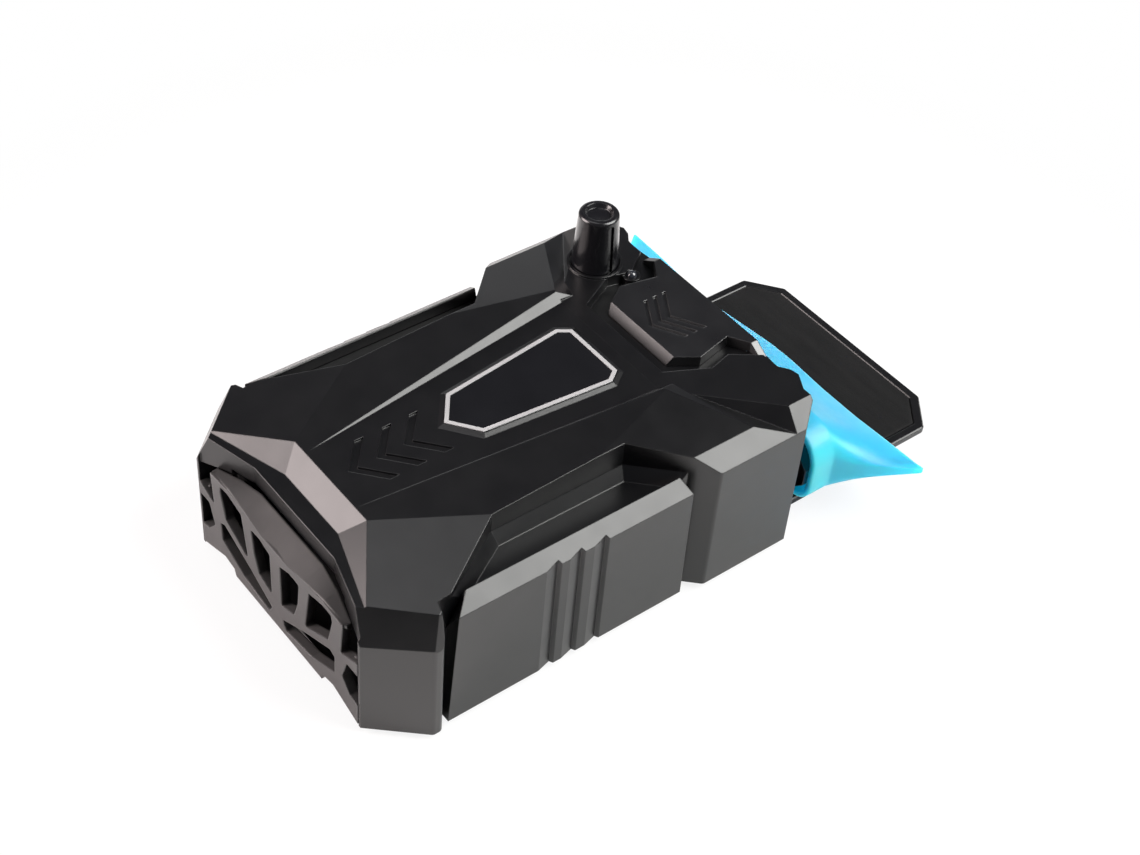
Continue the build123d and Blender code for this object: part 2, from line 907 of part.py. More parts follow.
    # label seat with its pocket, and chevrons sunk in the deck
    add(label_seat.part)
    with BuildSketch(deck_plane.offset(label_seat_height)):
        with BuildLine():
            Polyline(*label_points, close=True)
        make_face()
        offset(amount=screw_gap, kind=Kind.INTERSECTION)
    extrude(amount=-label_pocket, mode=Mode.SUBTRACT)
    with BuildSketch(deck_plane):
        for place in chevron_places:
            add(chevron(place - deck_front_y, chevron_half_width, chevron_sweep, chevron_width))
    extrude(amount=-chevron_depth, mode=Mode.SUBTRACT)
save(upper_shell.part, "upper_shell")


def grille_opening(*points):
    """Cutter for one opening of the grille and its twin, corners rounded."""
    with BuildPart() as cutter:
        with BuildSketch(upright(grille_y - grille_thickness)) as opening:
            with BuildLine():
                Polyline(*points, close=True)
            make_face()
            fillet(opening.vertices(), opening_corner_radius)
            mirror(about=Plane.YZ)
        extrude(amount=-3 * grille_thickness)
    return cutter.part


# Front grille: web of openings, visor above it and tabs behind the pillars
visor_lip = 2.4
visor_stations = [
    (0.0, brow_edge_y - 0.6, brow_edge_z, grille_y, 31.2),
    (6.0, brow_edge_y - 0.6, brow_edge_z, grille_y, 31.9),
    (14.0, brow_edge_y - 0.6, brow_edge_z, grille_y, 33.8),
    (22.0, brow_edge_y - 1.6, brow_edge_z - 1.3, grille_y + 0.3, 34.6),
    (brow_bend_x, brow_edge_y - 3.5, brow_bend_z, grille_y + 0.9, 33.2),
]
grille_openings = [
    [(2.3, 28.2), (6.8, 29.8), (11.1, 29.6), (10.2, 22.0), (8.2, 16.0), (2.3, 13.8)],
    [(15.6, 31.0), (21.8, 32.6), (25.4, 32.4), (25.9, 30.4), (23.8, 22.0), (13.3, 16.6)],
    [(2.4, 8.6), (12.2, 13.7), (24.6, 19.2), (26.6, 18.2), (26.4, 12.2), (15.9, 7.6), (4.2, 5.8)],
    [(30.6, 36.4), (40.0, 36.4), (40.0, 25.4), (35.8, 25.4), (29.3, 22.6)],
    [(32.0, 21.2), (40.0, 21.0), (40.0, 9.2), (33.2, 10.6), (29.8, 14.6)],
]
grille_half_width = opening_half_width - fit_gap
grille_low_z = 2.8
lip_half_width = 20.4
lip_z = 3.6
with BuildPart() as front_grille:
    with BuildSketch(upright(grille_y)):
        with BuildLine():
            Polyline(
                *both_halves(
                    [
                        (lip_half_width, lip_z),
                        (lip_half_width + 0.8, lip_z + 2.2),
                        (lip_half_width + 5.2, lip_z + 3.0),
                        (grille_half_width, grille_low_z),
                        (grille_half_width, brow_end_z - fit_gap),
                        (brow_bend_x, brow_bend_z - fit_gap),
                        (visor_stations[3][0], visor_stations[3][4] - 0.4),
                        (visor_stations[2][0], visor_stations[2][4]),
                        (visor_stations[1][0], visor_stations[1][4]),
                    ]
                ),
                close=True,
            )
        make_face()
    extrude(amount=-grille_thickness)
    for opening_points in grille_openings:
        add(grille_opening(*opening_points), mode=Mode.SUBTRACT)
    # visor, one half as a ruled body and its mirror
    for near, far in zip(visor_stations[:-1], visor_stations[1:]):
        with BuildPart(mode=Mode.PRIVATE) as visor_piece:
            for x, rear, top, front, low in (near, far):
                with BuildSketch(Plane.YZ.offset(x)):
                    with BuildLine():
                        Polyline(
                            (rear, top - fit_gap),
                            (front, low),
                            (front, low - visor_lip / 2),
                            (rear, min(top, low) - visor_lip),
                            close=True,
                        )
                    make_face()
            loft(ruled=True)
            mirror(about=Plane.YZ)
        add(visor_piece.part)
    # tabs that lie against the inside of the pillars and end in front of the screw bosses
    tab_start_y = grille_y + grille_thickness / 2
    tab_end_y = base_screw_places[0][1] - boss_radius - slide_gap
    for side in (-1, 1):
        with Locations((side * grille_half_width, tab_start_y, grille_tab_top_z)):
            Box(
                grille_tab_thickness,
                tab_end_y - tab_start_y,
                grille_tab_height,
                align=(Align.MAX if side > 0 else Align.MIN, Align.MIN, Align.MAX),
            )
save(front_grille.part, "front_grille")


# Base cover, with countersunk screw seats, foot seats and the blower's posts
blower_post_radius = 3.0
with BuildPart() as base_cover:
    with BuildSketch(Plane.XY.offset(foot_height)):
        with BuildLine():
            Polyline(*cavity_outline(fit_gap), close=True)
        make_face()
    extrude(amount=cover_thickness)
    with BuildSketch(Plane.XY.offset(cover_top_z)):
        with Locations(*ear_places):
            Circle(blower_post_radius)
    extrude(amount=ear_z - cover_top_z)
    with BuildSketch(Plane.XY.offset(cover_top_z)):
        with Locations(*ear_places):
            Circle(small_screw_radius + screw_gap)
    extrude(amount=ear_z - cover_top_z, mode=Mode.SUBTRACT)
    with BuildSketch(Plane.XY.offset(foot_height)):
        with Locations(*base_screw_places):
            Circle(screw_head_radius + fit_gap)
    extrude(amount=screw_head_height, mode=Mode.SUBTRACT)
    with BuildSketch(Plane.XY.offset(foot_height)):
        with Locations(*base_screw_places):
            Circle(screw_radius + fit_gap)
    extrude(amount=cover_thickness, mode=Mode.SUBTRACT)
    with BuildSketch(Plane.XY.offset(foot_height)):
        with Locations(*foot_places):
            Circle(foot_radius + fit_gap)
    extrude(amount=foot_recess, mode=Mode.SUBTRACT)
save(base_cover.part, "base_cover")

with BuildPart() as rubber_feet:
    with BuildSketch():
        with Locations(*foot_places):
            Circle(foot_radius)
    extrude(amount=foot_height + foot_recess)
    chamfer(rubber_feet.edges().group_by(Axis.Z)[0], length=0.5)
save(rubber_feet.part, "rubber_feet")


def screw_group(name, places, head_z, head_radius, head_height, shank_radius, shank_length):
    """Pan-head screws that point up, with a cross slot; negative lengths point down."""
    up = 1 if shank_length > 0 else -1
    with BuildPart() as screws:
        with BuildSketch(Plane.XY.offset(head_z)):
            with Locations(*places):
                Circle(head_radius)
        extrude(amount=up * head_height)
        with BuildSketch(Plane.XY.offset(head_z + up * head_height)):
            with Locations(*places):
                Circle(shank_radius)
        extrude(amount=shank_length)
        with BuildSketch(Plane.XY.offset(head_z)):
            with Locations(*places):
                Rectangle(1.5 * head_radius, 0.3 * head_radius)
                Rectangle(0.3 * head_radius, 1.5 * head_radius)
        extrude(amount=up * head_height / 2, mode=Mode.SUBTRACT)
    save(screws.part, name)


screw_group(
    "base_screws",
    base_screw_places,
    foot_height,
    screw_head_radius,
    screw_head_height,
    screw_radius,
    base_screw_length - 1.0,
)


# Grip panels, with bevelled tops, three stepped grooves and two pegs
def grip_panel(side):
    """Panel on the right side of the housing, or its mirror on the left."""
    inner_x = waist_half_width + fit_gap
    with BuildPart() as panel:
        with BuildSketch(upright(grip_front_y)):
            with BuildLine():
                Polyline(
                    (inner_x, foot_height),
                    (grip_outer_x, foot_height),
                    (grip_outer_x, grip_bevel_z),
                    (grip_ridge_x, grip_ridge_z),
                    (inner_x, grip_ridge_z - grip_inner_drop),
                    close=True,
                )
            make_face()
        extrude(amount=grip_front_y - grip_rear_y)
        for end_y, bevel_y, ridge_y in (
            (grip_front_y, grip_bevel_front_y, grip_ridge_front_y),
            (grip_rear_y, grip_bevel_rear_y, grip_ridge_rear_y),
        ):
            lean = plane_through(
                (inner_x, end_y, foot_height),
                (grip_outer_x, end_y, foot_height),
                (grip_outer_x, bevel_y, grip_bevel_z),
            )
            corner = plane_through(
                (grip_outer_x, bevel_y, grip_bevel_z),
                (grip_ridge_x, ridge_y, grip_ridge_z),
                (inner_x, bevel_y, grip_corner_z),
            )
            split(bisect_by=lean, keep=Keep.BOTTOM)
            split(bisect_by=corner, keep=Keep.BOTTOM)
        with BuildSketch(Plane.XY.offset(foot_height)):
            for place in groove_places:
                with BuildLine():
                    Polyline(
                        (grip_outer_x + wall, place - groove_run),
                        (grip_outer_x, place - groove_run),
                        (grip_outer_x - groove_depth, place),
                        (grip_outer_x, place + groove_step),
                        (grip_outer_x + wall, place + groove_step),
                        close=True,
                    )
                make_face()
        extrude(amount=grip_ridge_z, mode=Mode.SUBTRACT)
        with BuildSketch(Plane.YZ.offset(inner_x - peg_length)):
            with Locations(*[(place, peg_z) for place in peg_places]):
                Circle(peg_radius)
        extrude(amount=peg_length + wall / 2)
        if side < 0:
            mirror(about=Plane.YZ, mode=Mode.REPLACE)
    return panel.part


save(grip_panel(-1), "left_grip_panel")
save(grip_panel(1), "right_grip_panel")


# Label: a raised border and a glossy plate inside it
label_floor_plane = deck_plane.offset(label_seat_height - label_pocket)
with BuildPart() as label_frame:
    with BuildSketch(label_floor_plane):
        with BuildLine():
            Polyline(*label_points, close=True)
        make_face()
        offset(amount=-label_border, kind=Kind.INTERSECTION, mode=Mode.SUBTRACT)
    extrude(amount=label_pocket + label_height)
save(label_frame.part, "label_border")

with BuildPart() as label_plate:
    with BuildSketch(label_floor_plane):
        with BuildLine():
            Polyline(*label_points, close=True)
        make_face()
        offset(amount=-label_border - screw_gap, kind=Kind.INTERSECTION, mode=Mode.REPLACE)
    extrude(amount=label_pocket + label_plate_height)
save(label_plate.part, "label_plate")


# Sliding bracket: flange inside, neck through the rear wall, foot and tongue
port_outline = duct_outline(port_half_width, port_low_z, port_top_z, neck_top_chamfer, neck_low_chamfer)
port_bore = duct_outline(
    port_half_width - duct_wall,
    port_low_z + duct_wall,
    port_top_z - duct_wall,
    neck_top_chamfer - 0.4 * duct_wall,
    neck_low_chamfer - 0.4 * duct_wall,
)
neck_outline = duct_outline(neck_half_width, neck_low_z, neck_top_z, neck_top_chamfer, neck_low_chamfer)
plate_top_z = plate_bottom_z + plate_thickness
with BuildPart() as bracket:
    with BuildSketch(upright(flange_y)):
        with Locations((0, (flange_low_z + flange_top_z) / 2)):
            Rectangle(2 * flange_half_width, flange_top_z - flange_low_z)
    extrude(amount=-flange_thickness)
    with BuildSketch(upright(flange_y)):
        with BuildLine():
            Polyline(*port_outline, close=True)
        make_face()
    extrude(amount=flange_y - neck_end_y + 1.0)
    with BuildSketch(upright(neck_start_y)):
        with BuildLine():
            Polyline(*neck_outline, close=True)
        make_face()
    extrude(amount=neck_start_y - neck_end_y)
    with BuildSketch(upright(flange_y)):
        with BuildLine():
            Polyline(*port_bore, close=True)
        make_face()
    extrude(amount=flange_y - neck_end_y, mode=Mode.SUBTRACT)
    with Locations((0, flange_y, flange_top_z - 1.0)):
        Box(
            2 * tongue_half_width,
            flange_thickness,
            recess_floor_z + fit_gap + cap_bevel + 1.0 - flange_top_z,
            align=(Align.CENTER, Align.MIN, Align.MIN),
        )
    # foot over the plate and the web that carries the neck
    with Locations((0, plate_near_y, plate_top_z + screw_gap)):
        Box(
            2 * foot_flange_half_width,
            neck_end_y - plate_near_y,
            foot_flange_thickness,
            align=(Align.CENTER, Align.MIN, Align.MIN),
        )
    with Locations((0, plate_near_y, plate_top_z + foot_flange_thickness)):
        Box(
            2 * foot_flange_half_width,
            collar_start_y - hood_gap - plate_near_y,
            neck_low_z + duct_wall / 2 - plate_top_z - foot_flange_thickness,
            align=(Align.CENTER, Align.MIN, Align.MIN),
        )
    with BuildSketch(Plane.XY.offset(plate_top_z)):
        with Locations(*plate_screw_places):
            Circle(small_screw_radius + screw_gap)
    extrude(amount=foot_flange_thickness - 0.2, mode=Mode.SUBTRACT)
save(bracket.part, "bracket")

# Cap over the recess, pressed on the tongue, with three sunk chevrons
cap_bottom_z = recess_floor_z + fit_gap
cap_ear_plane = plane_through(
    (cap_rear_x, 0, plateau_z),
    (cap_rear_x, cap_rear_y, plateau_z),
    (cap_end_x, 0, cap_bottom_z + cap_ear_edge),
)
with BuildPart() as bracket_cap:
    with BuildSketch(Plane.XY.offset(cap_bottom_z)):
        with BuildLine():
            Polyline(
                *both_halves(
                    [
                        (cap_front_x, cap_front_y - cap_bevel),
                        (cap_side_x + cap_foot_grow, cap_side_y - cap_foot_grow),
                        (cap_waist_x + cap_foot_grow, cap_waist_y - cap_foot_grow),
                        (cap_rear_x, cap_rear_y - cap_foot_grow),
                        (cap_end_x, cap_rear_y - cap_foot_grow),
                        (cap_end_x, cap_end_y),
                    ]
                ),
                close=True,
            )
        make_face()
    extrude(amount=plateau_z - cap_bottom_z)
    split(
        bisect_by=plane_through(
            (0, cap_front_y - cap_bevel, cap_bottom_z + 0.3),
            (cap_front_x, cap_front_y - cap_bevel, cap_bottom_z + 0.3),
            (0, cap_front_y, plateau_z),
        ),
        keep=Keep.BOTTOM,
    )
    split(bisect_by=cap_ear_plane, keep=Keep.BOTTOM)
    split(bisect_by=mirrored_plane(cap_ear_plane), keep=Keep.BOTTOM)
    with Locations((0, flange_y - screw_gap, cap_bottom_z)):
        Box(
            2 * (tongue_half_width + screw_gap),
            flange_thickness + 2 * screw_gap,
            cap_bevel + 0.1,
            align=(Align.CENTER, Align.MIN, Align.MIN),
            mode=Mode.SUBTRACT,
        )
    with BuildSketch(Plane.XY.offset(plateau_z)):
        for place in cap_mark_places:
            add(chevron(place, cap_mark_half_width, cap_mark_sweep, cap_mark_width))
    extrude(amount=-cap_mark_depth, mode=Mode.SUBTRACT)
save(bracket_cap.part, "bracket_cap")

# Support plate with its soft pad
plate_half = [
    (plate_half_width, plate_near_y),
    (plate_half_width, plate_far_y - plate_chamfer_y),
    (plate_half_width - plate_chamfer_x, plate_far_y),
]
pad_half = [
    (plate_half_width - pad_margin, pad_start_y),
    (plate_half_width - pad_margin, plate_far_y - plate_chamfer_y - 0.5 * pad_margin),
    (plate_half_width - plate_chamfer_x - 0.4 * pad_margin, plate_far_y - pad_margin),
]
with BuildPart() as support_plate:
    with BuildSketch(Plane.XY.offset(plate_bottom_z)):
        with BuildLine():
            Polyline(*both_halves(plate_half), close=True)
        make_face()
        fillet(vertices().filter_by(lambda v: v.Y > pad_start_y), 1.5)
    extrude(amount=plate_thickness)
    with BuildSketch(Plane.XY.offset(plate_top_z - pad_recess)):
        with BuildLine():
            Polyline(*both_halves(pad_half), close=True)
        make_face()
        offset(amount=fit_gap, kind=Kind.INTERSECTION)
    extrude(amount=pad_recess, mode=Mode.SUBTRACT)
    with BuildSketch(Plane.XY.offset(plate_bottom_z)):
        with Locations(*plate_screw_places):
            Circle(small_head_radius + fit_gap)
    extrude(amount=small_head_height, mode=Mode.SUBTRACT)
    with BuildSketch(Plane.XY.offset(plate_bottom_z)):
        with Locations(*plate_screw_places):
            Circle(small_screw_radius + fit_gap)
    extrude(amount=plate_thickness, mode=Mode.SUBTRACT)
    chamfer(support_plate.edges().filter_by(Plane.XY).group_by(Axis.Z)[-1].filter_by(
        lambda edge: edge.center().Y > pad_start_y
    ), length=0.4)
save(support_plate.part, "support_plate")

with BuildPart() as support_pad:
    with BuildSketch(Plane.XY.offset(plate_top_z - pad_recess)):
        with BuildLine():
            Polyline(*both_halves(pad_half), close=True)
        make_face()
    extrude(amount=pad_thickness)
save(support_pad.part, "support_pad")

screw_group(
    "plate_screws",
    plate_screw_places,
    plate_bottom_z,
    small_head_radius,
    small_head_height,
    small_screw_radius,
    plate_thickness + foot_flange_thickness - small_head_height - 0.5,
)


# Silicone hood: a collar around the neck that flares to a wide beak-shaped mouth
def mouth_outline(inset):
    """Mouth section, drawn in by the wall."""
    return both_halves(
        [
            (mouth_top_x, mouth_top_z - inset),
            (mouth_tip_x - 2.2 * inset, mouth_tip_z + mouth_tip_height / 2 - 0.4 * inset),
            (mouth_tip_x - 2.2 * inset, mouth_tip_z - mouth_tip_height / 2 + 0.2 * inset),
            (mouth_low_x, mouth_low_z + inset),
        ]
    )


def collar_outline(extra):
    """Section of the collar around the neck."""
    return duct_outline(
        neck_half_width + extra,
        neck_low_z - extra,
        neck_top_z + extra,
        neck_top_chamfer + 0.4 * extra,
        neck_low_chamfer + 0.4 * extra,
    )


with BuildPart() as hood_core:
    for y, outline in (
        (collar_start_y - 1.0, collar_outline(hood_gap)),
        (collar_end_y, collar_outline(hood_gap)),
    ):
        with BuildSketch(upright(y)):
            with BuildLine():
                Polyline(*outline, close=True)
            make_face()
    loft(ruled=True)
    for y, outline in (
        (collar_end_y, collar_outline(hood_gap)),
        (mouth_y + fit_gap, mouth_outline(hood_wall)),
    ):
        with BuildSketch(upright(y)):
            with BuildLine():
                Polyline(*outline, close=True)
            make_face()
    loft(ruled=True)

with BuildPart() as suction_hood:
    for y, outline in (
        (collar_start_y, collar_outline(hood_gap + hood_wall)),
        (collar_end_y, collar_outline(hood_gap + hood_wall)),
    ):
        with BuildSketch(upright(y)):
            with BuildLine():
                Polyline(*outline, close=True)
            make_face()
    loft(ruled=True)
    for y, outline in (
        (collar_end_y, collar_outline(hood_gap + hood_wall)),
        (mouth_y, mouth_outline(0)),
    ):
        with BuildSketch(upright(y)):
            with BuildLine():
                Polyline(*outline, close=True)
            make_face()
    loft(ruled=True)
    add(hood_core.part, mode=Mode.SUBTRACT)
save(suction_hood.part, "suction_hood")


# Speed knob: tapered, dished on top, with a pointer slot and the bush's nut inside its skirt
skirt_radius = nut_flats / 2 / cos(radians(30)) + fit_gap
knob_height = knob_top_z - knob_base_z
knob_taper = atan2(knob_base_radius - knob_top_radius, knob_height - knob_shoulder)
knob_slot_plane = Plane(
    origin=(knob_x + knob_base_radius - knob_slot_depth, knob_y, knob_base_z),
    x_dir=(0, 1, 0),
    z_dir=(cos(knob_taper), 0, sin(knob_taper)),
)
knob_arc_share = knob_shoulder * (1 - cos(radians(45)))
with BuildPart() as speed_knob:
    with BuildSketch(Plane(origin=(knob_x, knob_y, 0), x_dir=(1, 0, 0), z_dir=(0, -1, 0))):
        with BuildLine():
            ThreePointArc(
                (knob_top_radius, knob_top_z - knob_shoulder),
                (knob_top_radius - knob_arc_share, knob_top_z - knob_arc_share),
                (knob_top_radius - knob_shoulder, knob_top_z),
            )
            Polyline(
                (knob_top_radius - knob_shoulder, knob_top_z),
                (knob_dish_radius, knob_top_z),
                (knob_dish_radius - 0.5 * knob_dish_depth, knob_top_z - knob_dish_depth),
                (0, knob_top_z - 1.2 * knob_dish_depth),
                (0, knob_base_z),
                (knob_base_radius, knob_base_z),
                (knob_top_radius, knob_top_z - knob_shoulder),
            )
        make_face()
    revolve(axis=Axis((knob_x, knob_y, 0), (0, 0, 1)))
    with BuildSketch(knob_slot_plane):
        with Locations((0, (knob_height - knob_slot_drop) / 2)):
            SlotOverall(knob_height - knob_slot_drop, knob_slot_width, rotation=90)
        with Locations((0, knob_slot_width / 2)):
            Rectangle(knob_slot_width, knob_slot_width)
    extrude(amount=2 * knob_slot_depth, mode=Mode.SUBTRACT)
    with BuildSketch(Plane.XY.offset(knob_base_z)):
        with Locations((knob_x, knob_y)):
            Circle(skirt_radius)
    extrude(amount=knob_skirt_depth, mode=Mode.SUBTRACT)
    with BuildSketch(Plane.XY.offset(knob_base_z)):
        with Locations((knob_x, knob_y)):
            Circle(shaft_radius)
    extrude(amount=shaft_top_z - knob_base_z, mode=Mode.SUBTRACT)
save(speed_knob.part, "speed_knob")

with BuildPart() as potentiometer_shaft:
    with BuildSketch(Plane.XY.offset(board_z + board_thickness + shaft_foot)):
        with Locations((knob_x, knob_y)):
            Circle(shaft_radius)
    extrude(amount=shaft_top_z - board_z - board_thickness - shaft_foot)
save(potentiometer_shaft.part, "potentiometer_shaft")

with BuildPart() as potentiometer_body:
    with BuildSketch(Plane.XY.offset(board_top_z + screw_gap)):
        with Locations((knob_x, knob_y)):
            Rectangle(pot_width, pot_width)
    extrude(amount=pot_top_z - board_top_z - screw_gap)
    with BuildSketch(Plane.XY.offset(pot_top_z)):
        with Locations((knob_x, knob_y)):
            Circle(bush_radius)
    extrude(amount=bush_top_z - pot_top_z)
    with BuildSketch(Plane.XY.offset(board_top_z + shaft_foot - 0.5)):
        with Locations((knob_x, knob_y)):
            Circle(shaft_radius + shaft_clearance)
    extrude(amount=bush_top_z, mode=Mode.SUBTRACT)
save(potentiometer_body.part, "potentiometer_body")

with BuildPart() as potentiometer_nut:
    with BuildSketch(Plane.XY.offset(plateau_z + screw_gap)):
        with Locations((knob_x, knob_y)):
            RegularPolygon(nut_flats / 2, 6, major_radius=False)
            Circle(bush_radius + screw_gap, mode=Mode.SUBTRACT)
    extrude(amount=nut_height)
save(potentiometer_nut.part, "potentiometer_nut")

# Indicator lamp with its two leads down to the board
with BuildPart() as indicator_lamp:
    with BuildSketch(Plane(origin=(lamp_x, lamp_y, 0), x_dir=(1, 0, 0), z_dir=(0, -1, 0))):
        with BuildLine():
            lamp_wall = Polyline(
                (0, lamp_top_z),
                (0, lamp_foot_z),
                (lamp_radius, lamp_foot_z),
                (lamp_radius, lamp_top_z - lamp_radius),
            )
            RadiusArc(lamp_wall @ 1, lamp_wall @ 0, -lamp_radius)
        make_face()
    revolve(axis=Axis((lamp_x, lamp_y, 0), (0, 0, 1)))
    with BuildSketch(Plane.XY.offset(board_top_z)):
        with Locations((lamp_x - lead_spacing, lamp_y), (lamp_x + lead_spacing, lamp_y)):
            Circle(lead_radius)
    extrude(amount=lamp_foot_z - board_top_z + 0.5)
save(indicator_lamp.part, "indicator_lamp")

# Control board, its screws and the power socket under it
with BuildPart() as control_board:
    with BuildSketch(Plane.XY.offset(board_z)):
        with BuildLine():
            Polyline(
                (board_left_x, board_near_y),
                (board_right_x, board_near_y),
                (board_right_x, board_far_y),
                (board_left_x, board_far_y),
                close=True,
            )
        make_face()
        with Locations(*post_places):
            Circle(small_screw_radius + fit_gap, mode=Mode.SUBTRACT)
        with Locations(*[place for place in base_screw_places if place[0] < 0 < place[1]]):
            Circle(boss_radius + slide_gap, mode=Mode.SUBTRACT)
    extrude(amount=board_thickness)
save(control_board.part, "control_board")

screw_group(
    "board_screws",
    post_places,
    board_z - small_head_height,
    small_head_radius,
    small_head_height,
    small_screw_radius,
    board_thickness + screw_bite,
)

socket_face_x = -block_half_width + 0.3
socket_body_x = -room_half_width + fit_gap
with BuildPart() as power_socket:
    with Locations((socket_body_x, socket_y, board_z - screw_gap)):
        Box(
            socket_length,
            socket_width,
            socket_height,
            align=(Align.MIN, Align.CENTER, Align.MAX),
        )
    with BuildSketch(Plane.YZ.offset(socket_face_x)):
        with Locations((socket_y, socket_z)):
            Circle(socket_nose_radius)
    extrude(amount=socket_body_x - socket_face_x + 1.0)
    with BuildSketch(Plane.YZ.offset(socket_face_x)):
        with Locations((socket_y, socket_z)):
            Circle(socket_bore_radius)
    extrude(amount=socket_depth, mode=Mode.SUBTRACT)
    with BuildSketch(Plane.YZ.offset(socket_face_x + 1.0)):
        with Locations((socket_y, socket_z)):
            Circle(socket_pin_radius)
    extrude(amount=socket_depth)
save(power_socket.part, "power_socket")


# Blower housing: scroll, floor, bearing tube and three ears
blower_floor_z = cover_top_z + screw_gap
blower_floor_top_z = blower_floor_z + blower_floor
tube_radius = bearing_radius + tube_wall


def scroll_face(extra):
    """Scroll with its straight outlet, moved outwards by a wall thickness."""
    points = scroll_points(extra)
    with BuildSketch() as scroll:
        with BuildLine():
            Spline(*points)
            Polyline(
                points[-1],
                (scroll_end_radius + extra, outlet_y),
                (points[0][0] - extra, outlet_y),
                points[0],
            )
        make_face()
    return scroll.sketch


with BuildPart() as blower_housing:
    with BuildSketch(Plane.XY.offset(blower_floor_z)):
        add(scroll_face(scroll_wall))
    extrude(amount=blower_wall_top_z - blower_floor_z)
    with BuildSketch(Plane.XY.offset(blower_floor_top_z)):
        add(scroll_face(0))
    extrude(amount=blower_wall_top_z, mode=Mode.SUBTRACT)
    with BuildSketch(upright(outlet_y - 1.0)):
        with Locations(
            (
                (scroll_points(0)[0][0] + scroll_end_radius) / 2,
                (blower_floor_top_z + blower_wall_top_z) / 2,
            )
        ):
            Rectangle(
                scroll_end_radius - scroll_points(0)[0][0],
                blower_wall_top_z - blower_floor_top_z,
            )
    extrude(amount=-4.0, mode=Mode.SUBTRACT)
    with BuildSketch(Plane.XY.offset(blower_floor_top_z)):
        Circle(tube_radius)
    extrude(amount=tube_top_z - blower_floor_top_z)
    with BuildSketch(Plane.XY.offset(bearing_low_z)):
        Circle(bearing_radius + 0.02)
    extrude(amount=tube_top_z, mode=Mode.SUBTRACT)
    with BuildSketch(Plane.XY.offset(blower_floor_top_z)):
        Circle(clip_radius + 0.3)
    extrude(amount=tube_top_z, mode=Mode.SUBTRACT)
    for place in ear_places:
        arm_angle = atan2(place[1], place[0])
        with BuildSketch(Plane.XY.offset(ear_z + screw_gap)):
            with Locations(place):
                Circle(ear_radius)
            with BuildLine():
                Polyline(
                    (place[0] - copysign(ear_arm_width, place[0]), place[1]),
                    (scroll_start_radius * cos(arm_angle), scroll_start_radius * sin(arm_angle)),
                    (place[0], place[1] - copysign(ear_arm_width, place[1])),
                    place,
                    close=True,
                )
            make_face()
        extrude(amount=ear_thickness)
    with BuildSketch(Plane.XY.offset(blower_floor_top_z)):
        add(scroll_face(0))
        Circle(tube_radius, mode=Mode.SUBTRACT)
    extrude(amount=blower_wall_top_z, mode=Mode.SUBTRACT)
    with BuildSketch(Plane.XY.offset(ear_z)):
        with Locations(*ear_places):
            Circle(small_screw_radius + fit_gap)
    extrude(amount=ear_thickness + 1.0, mode=Mode.SUBTRACT)
save(blower_housing.part, "blower_housing")

with BuildPart() as blower_cover:
    with BuildSketch(Plane.XY.offset(blower_wall_top_z)):
        add(scroll_face(scroll_wall))
        Circle(inlet_radius, mode=Mode.SUBTRACT)
    extrude(amount=blower_cover_thickness)
    with BuildSketch(Plane.XY.offset(blower_wall_top_z)):
        Circle(inlet_radius + inlet_ring_width)
        Circle(inlet_radius, mode=Mode.SUBTRACT)
    extrude(amount=blower_cover_thickness + inlet_ring_height)
save(blower_cover.part, "blower_cover")

screw_group(
    "blower_screws",
    ear_places,
    ear_z + screw_gap + ear_thickness + small_head_height,
    small_head_radius,
    small_head_height,
    small_screw_radius,
    -(ear_thickness + screw_bite),
)

# Impeller with its hub cup, blades, back plate and rim
magnet_outer_radius = hub_radius - hub_wall
magnet_inner_radius = magnet_outer_radius - magnet_thickness
with BuildPart() as impeller:
    with BuildSketch(Plane.XY.offset(impeller_plate_z)):
        Circle(impeller_radius)
        Circle(magnet_outer_radius, mode=Mode.SUBTRACT)
    extrude(amount=impeller_plate)
    with BuildSketch(Plane.XY.offset(impeller_plate_z)):
        Circle(hub_radius)
    extrude(amount=hub_top_z - impeller_plate_z)
    with BuildSketch(Plane.XY.offset(impeller_plate_z)):
        Circle(magnet_outer_radius)
    extrude(amount=hub_top_z - impeller_plate_z - hub_wall, mode=Mode.SUBTRACT)
    chamfer(impeller.edges().filter_by(GeomType.CIRCLE).group_by(Axis.Z)[-1], length=1.0)
    with BuildSketch(Plane.XY.offset(impeller_plate_z)):
        with PolarLocations((blade_inner_radius + impeller_radius) / 2, blade_count):
            with Locations(Rotation(0, 0, blade_lean)):
                Rectangle(
                    (impeller_radius - blade_inner_radius) / cos(radians(blade_lean)) - 0.6,
                    blade_thickness,
                )
    extrude(amount=blade_top_z - impeller_plate_z)
    with BuildSketch(Plane.XY.offset(blade_top_z - rim_height)):
        Circle(impeller_radius)
        Circle(impeller_radius - rim_width, mode=Mode.SUBTRACT)
    extrude(amount=rim_height)
    with BuildSketch(Plane.XY.offset(hub_top_z - hub_wall - 1.6)):
        Circle(motor_shaft_radius + 1.6)
    extrude(amount=1.7)
    with BuildSketch(Plane.XY.offset(impeller_plate_z)):
        Circle(motor_shaft_radius)
    extrude(amount=hub_top_z - impeller_plate_z - 0.6, mode=Mode.SUBTRACT)
save(impeller.part, "impeller")

with BuildPart() as magnet_ring:
    with BuildSketch(Plane.XY.offset(impeller_plate_z + 0.4)):
        Circle(magnet_outer_radius - 0.02)
        Circle(magnet_inner_radius, mode=Mode.SUBTRACT)
    extrude(amount=stator_low_z + stator_height + 0.6 - impeller_plate_z - 0.4)
save(magnet_ring.part, "magnet_ring")

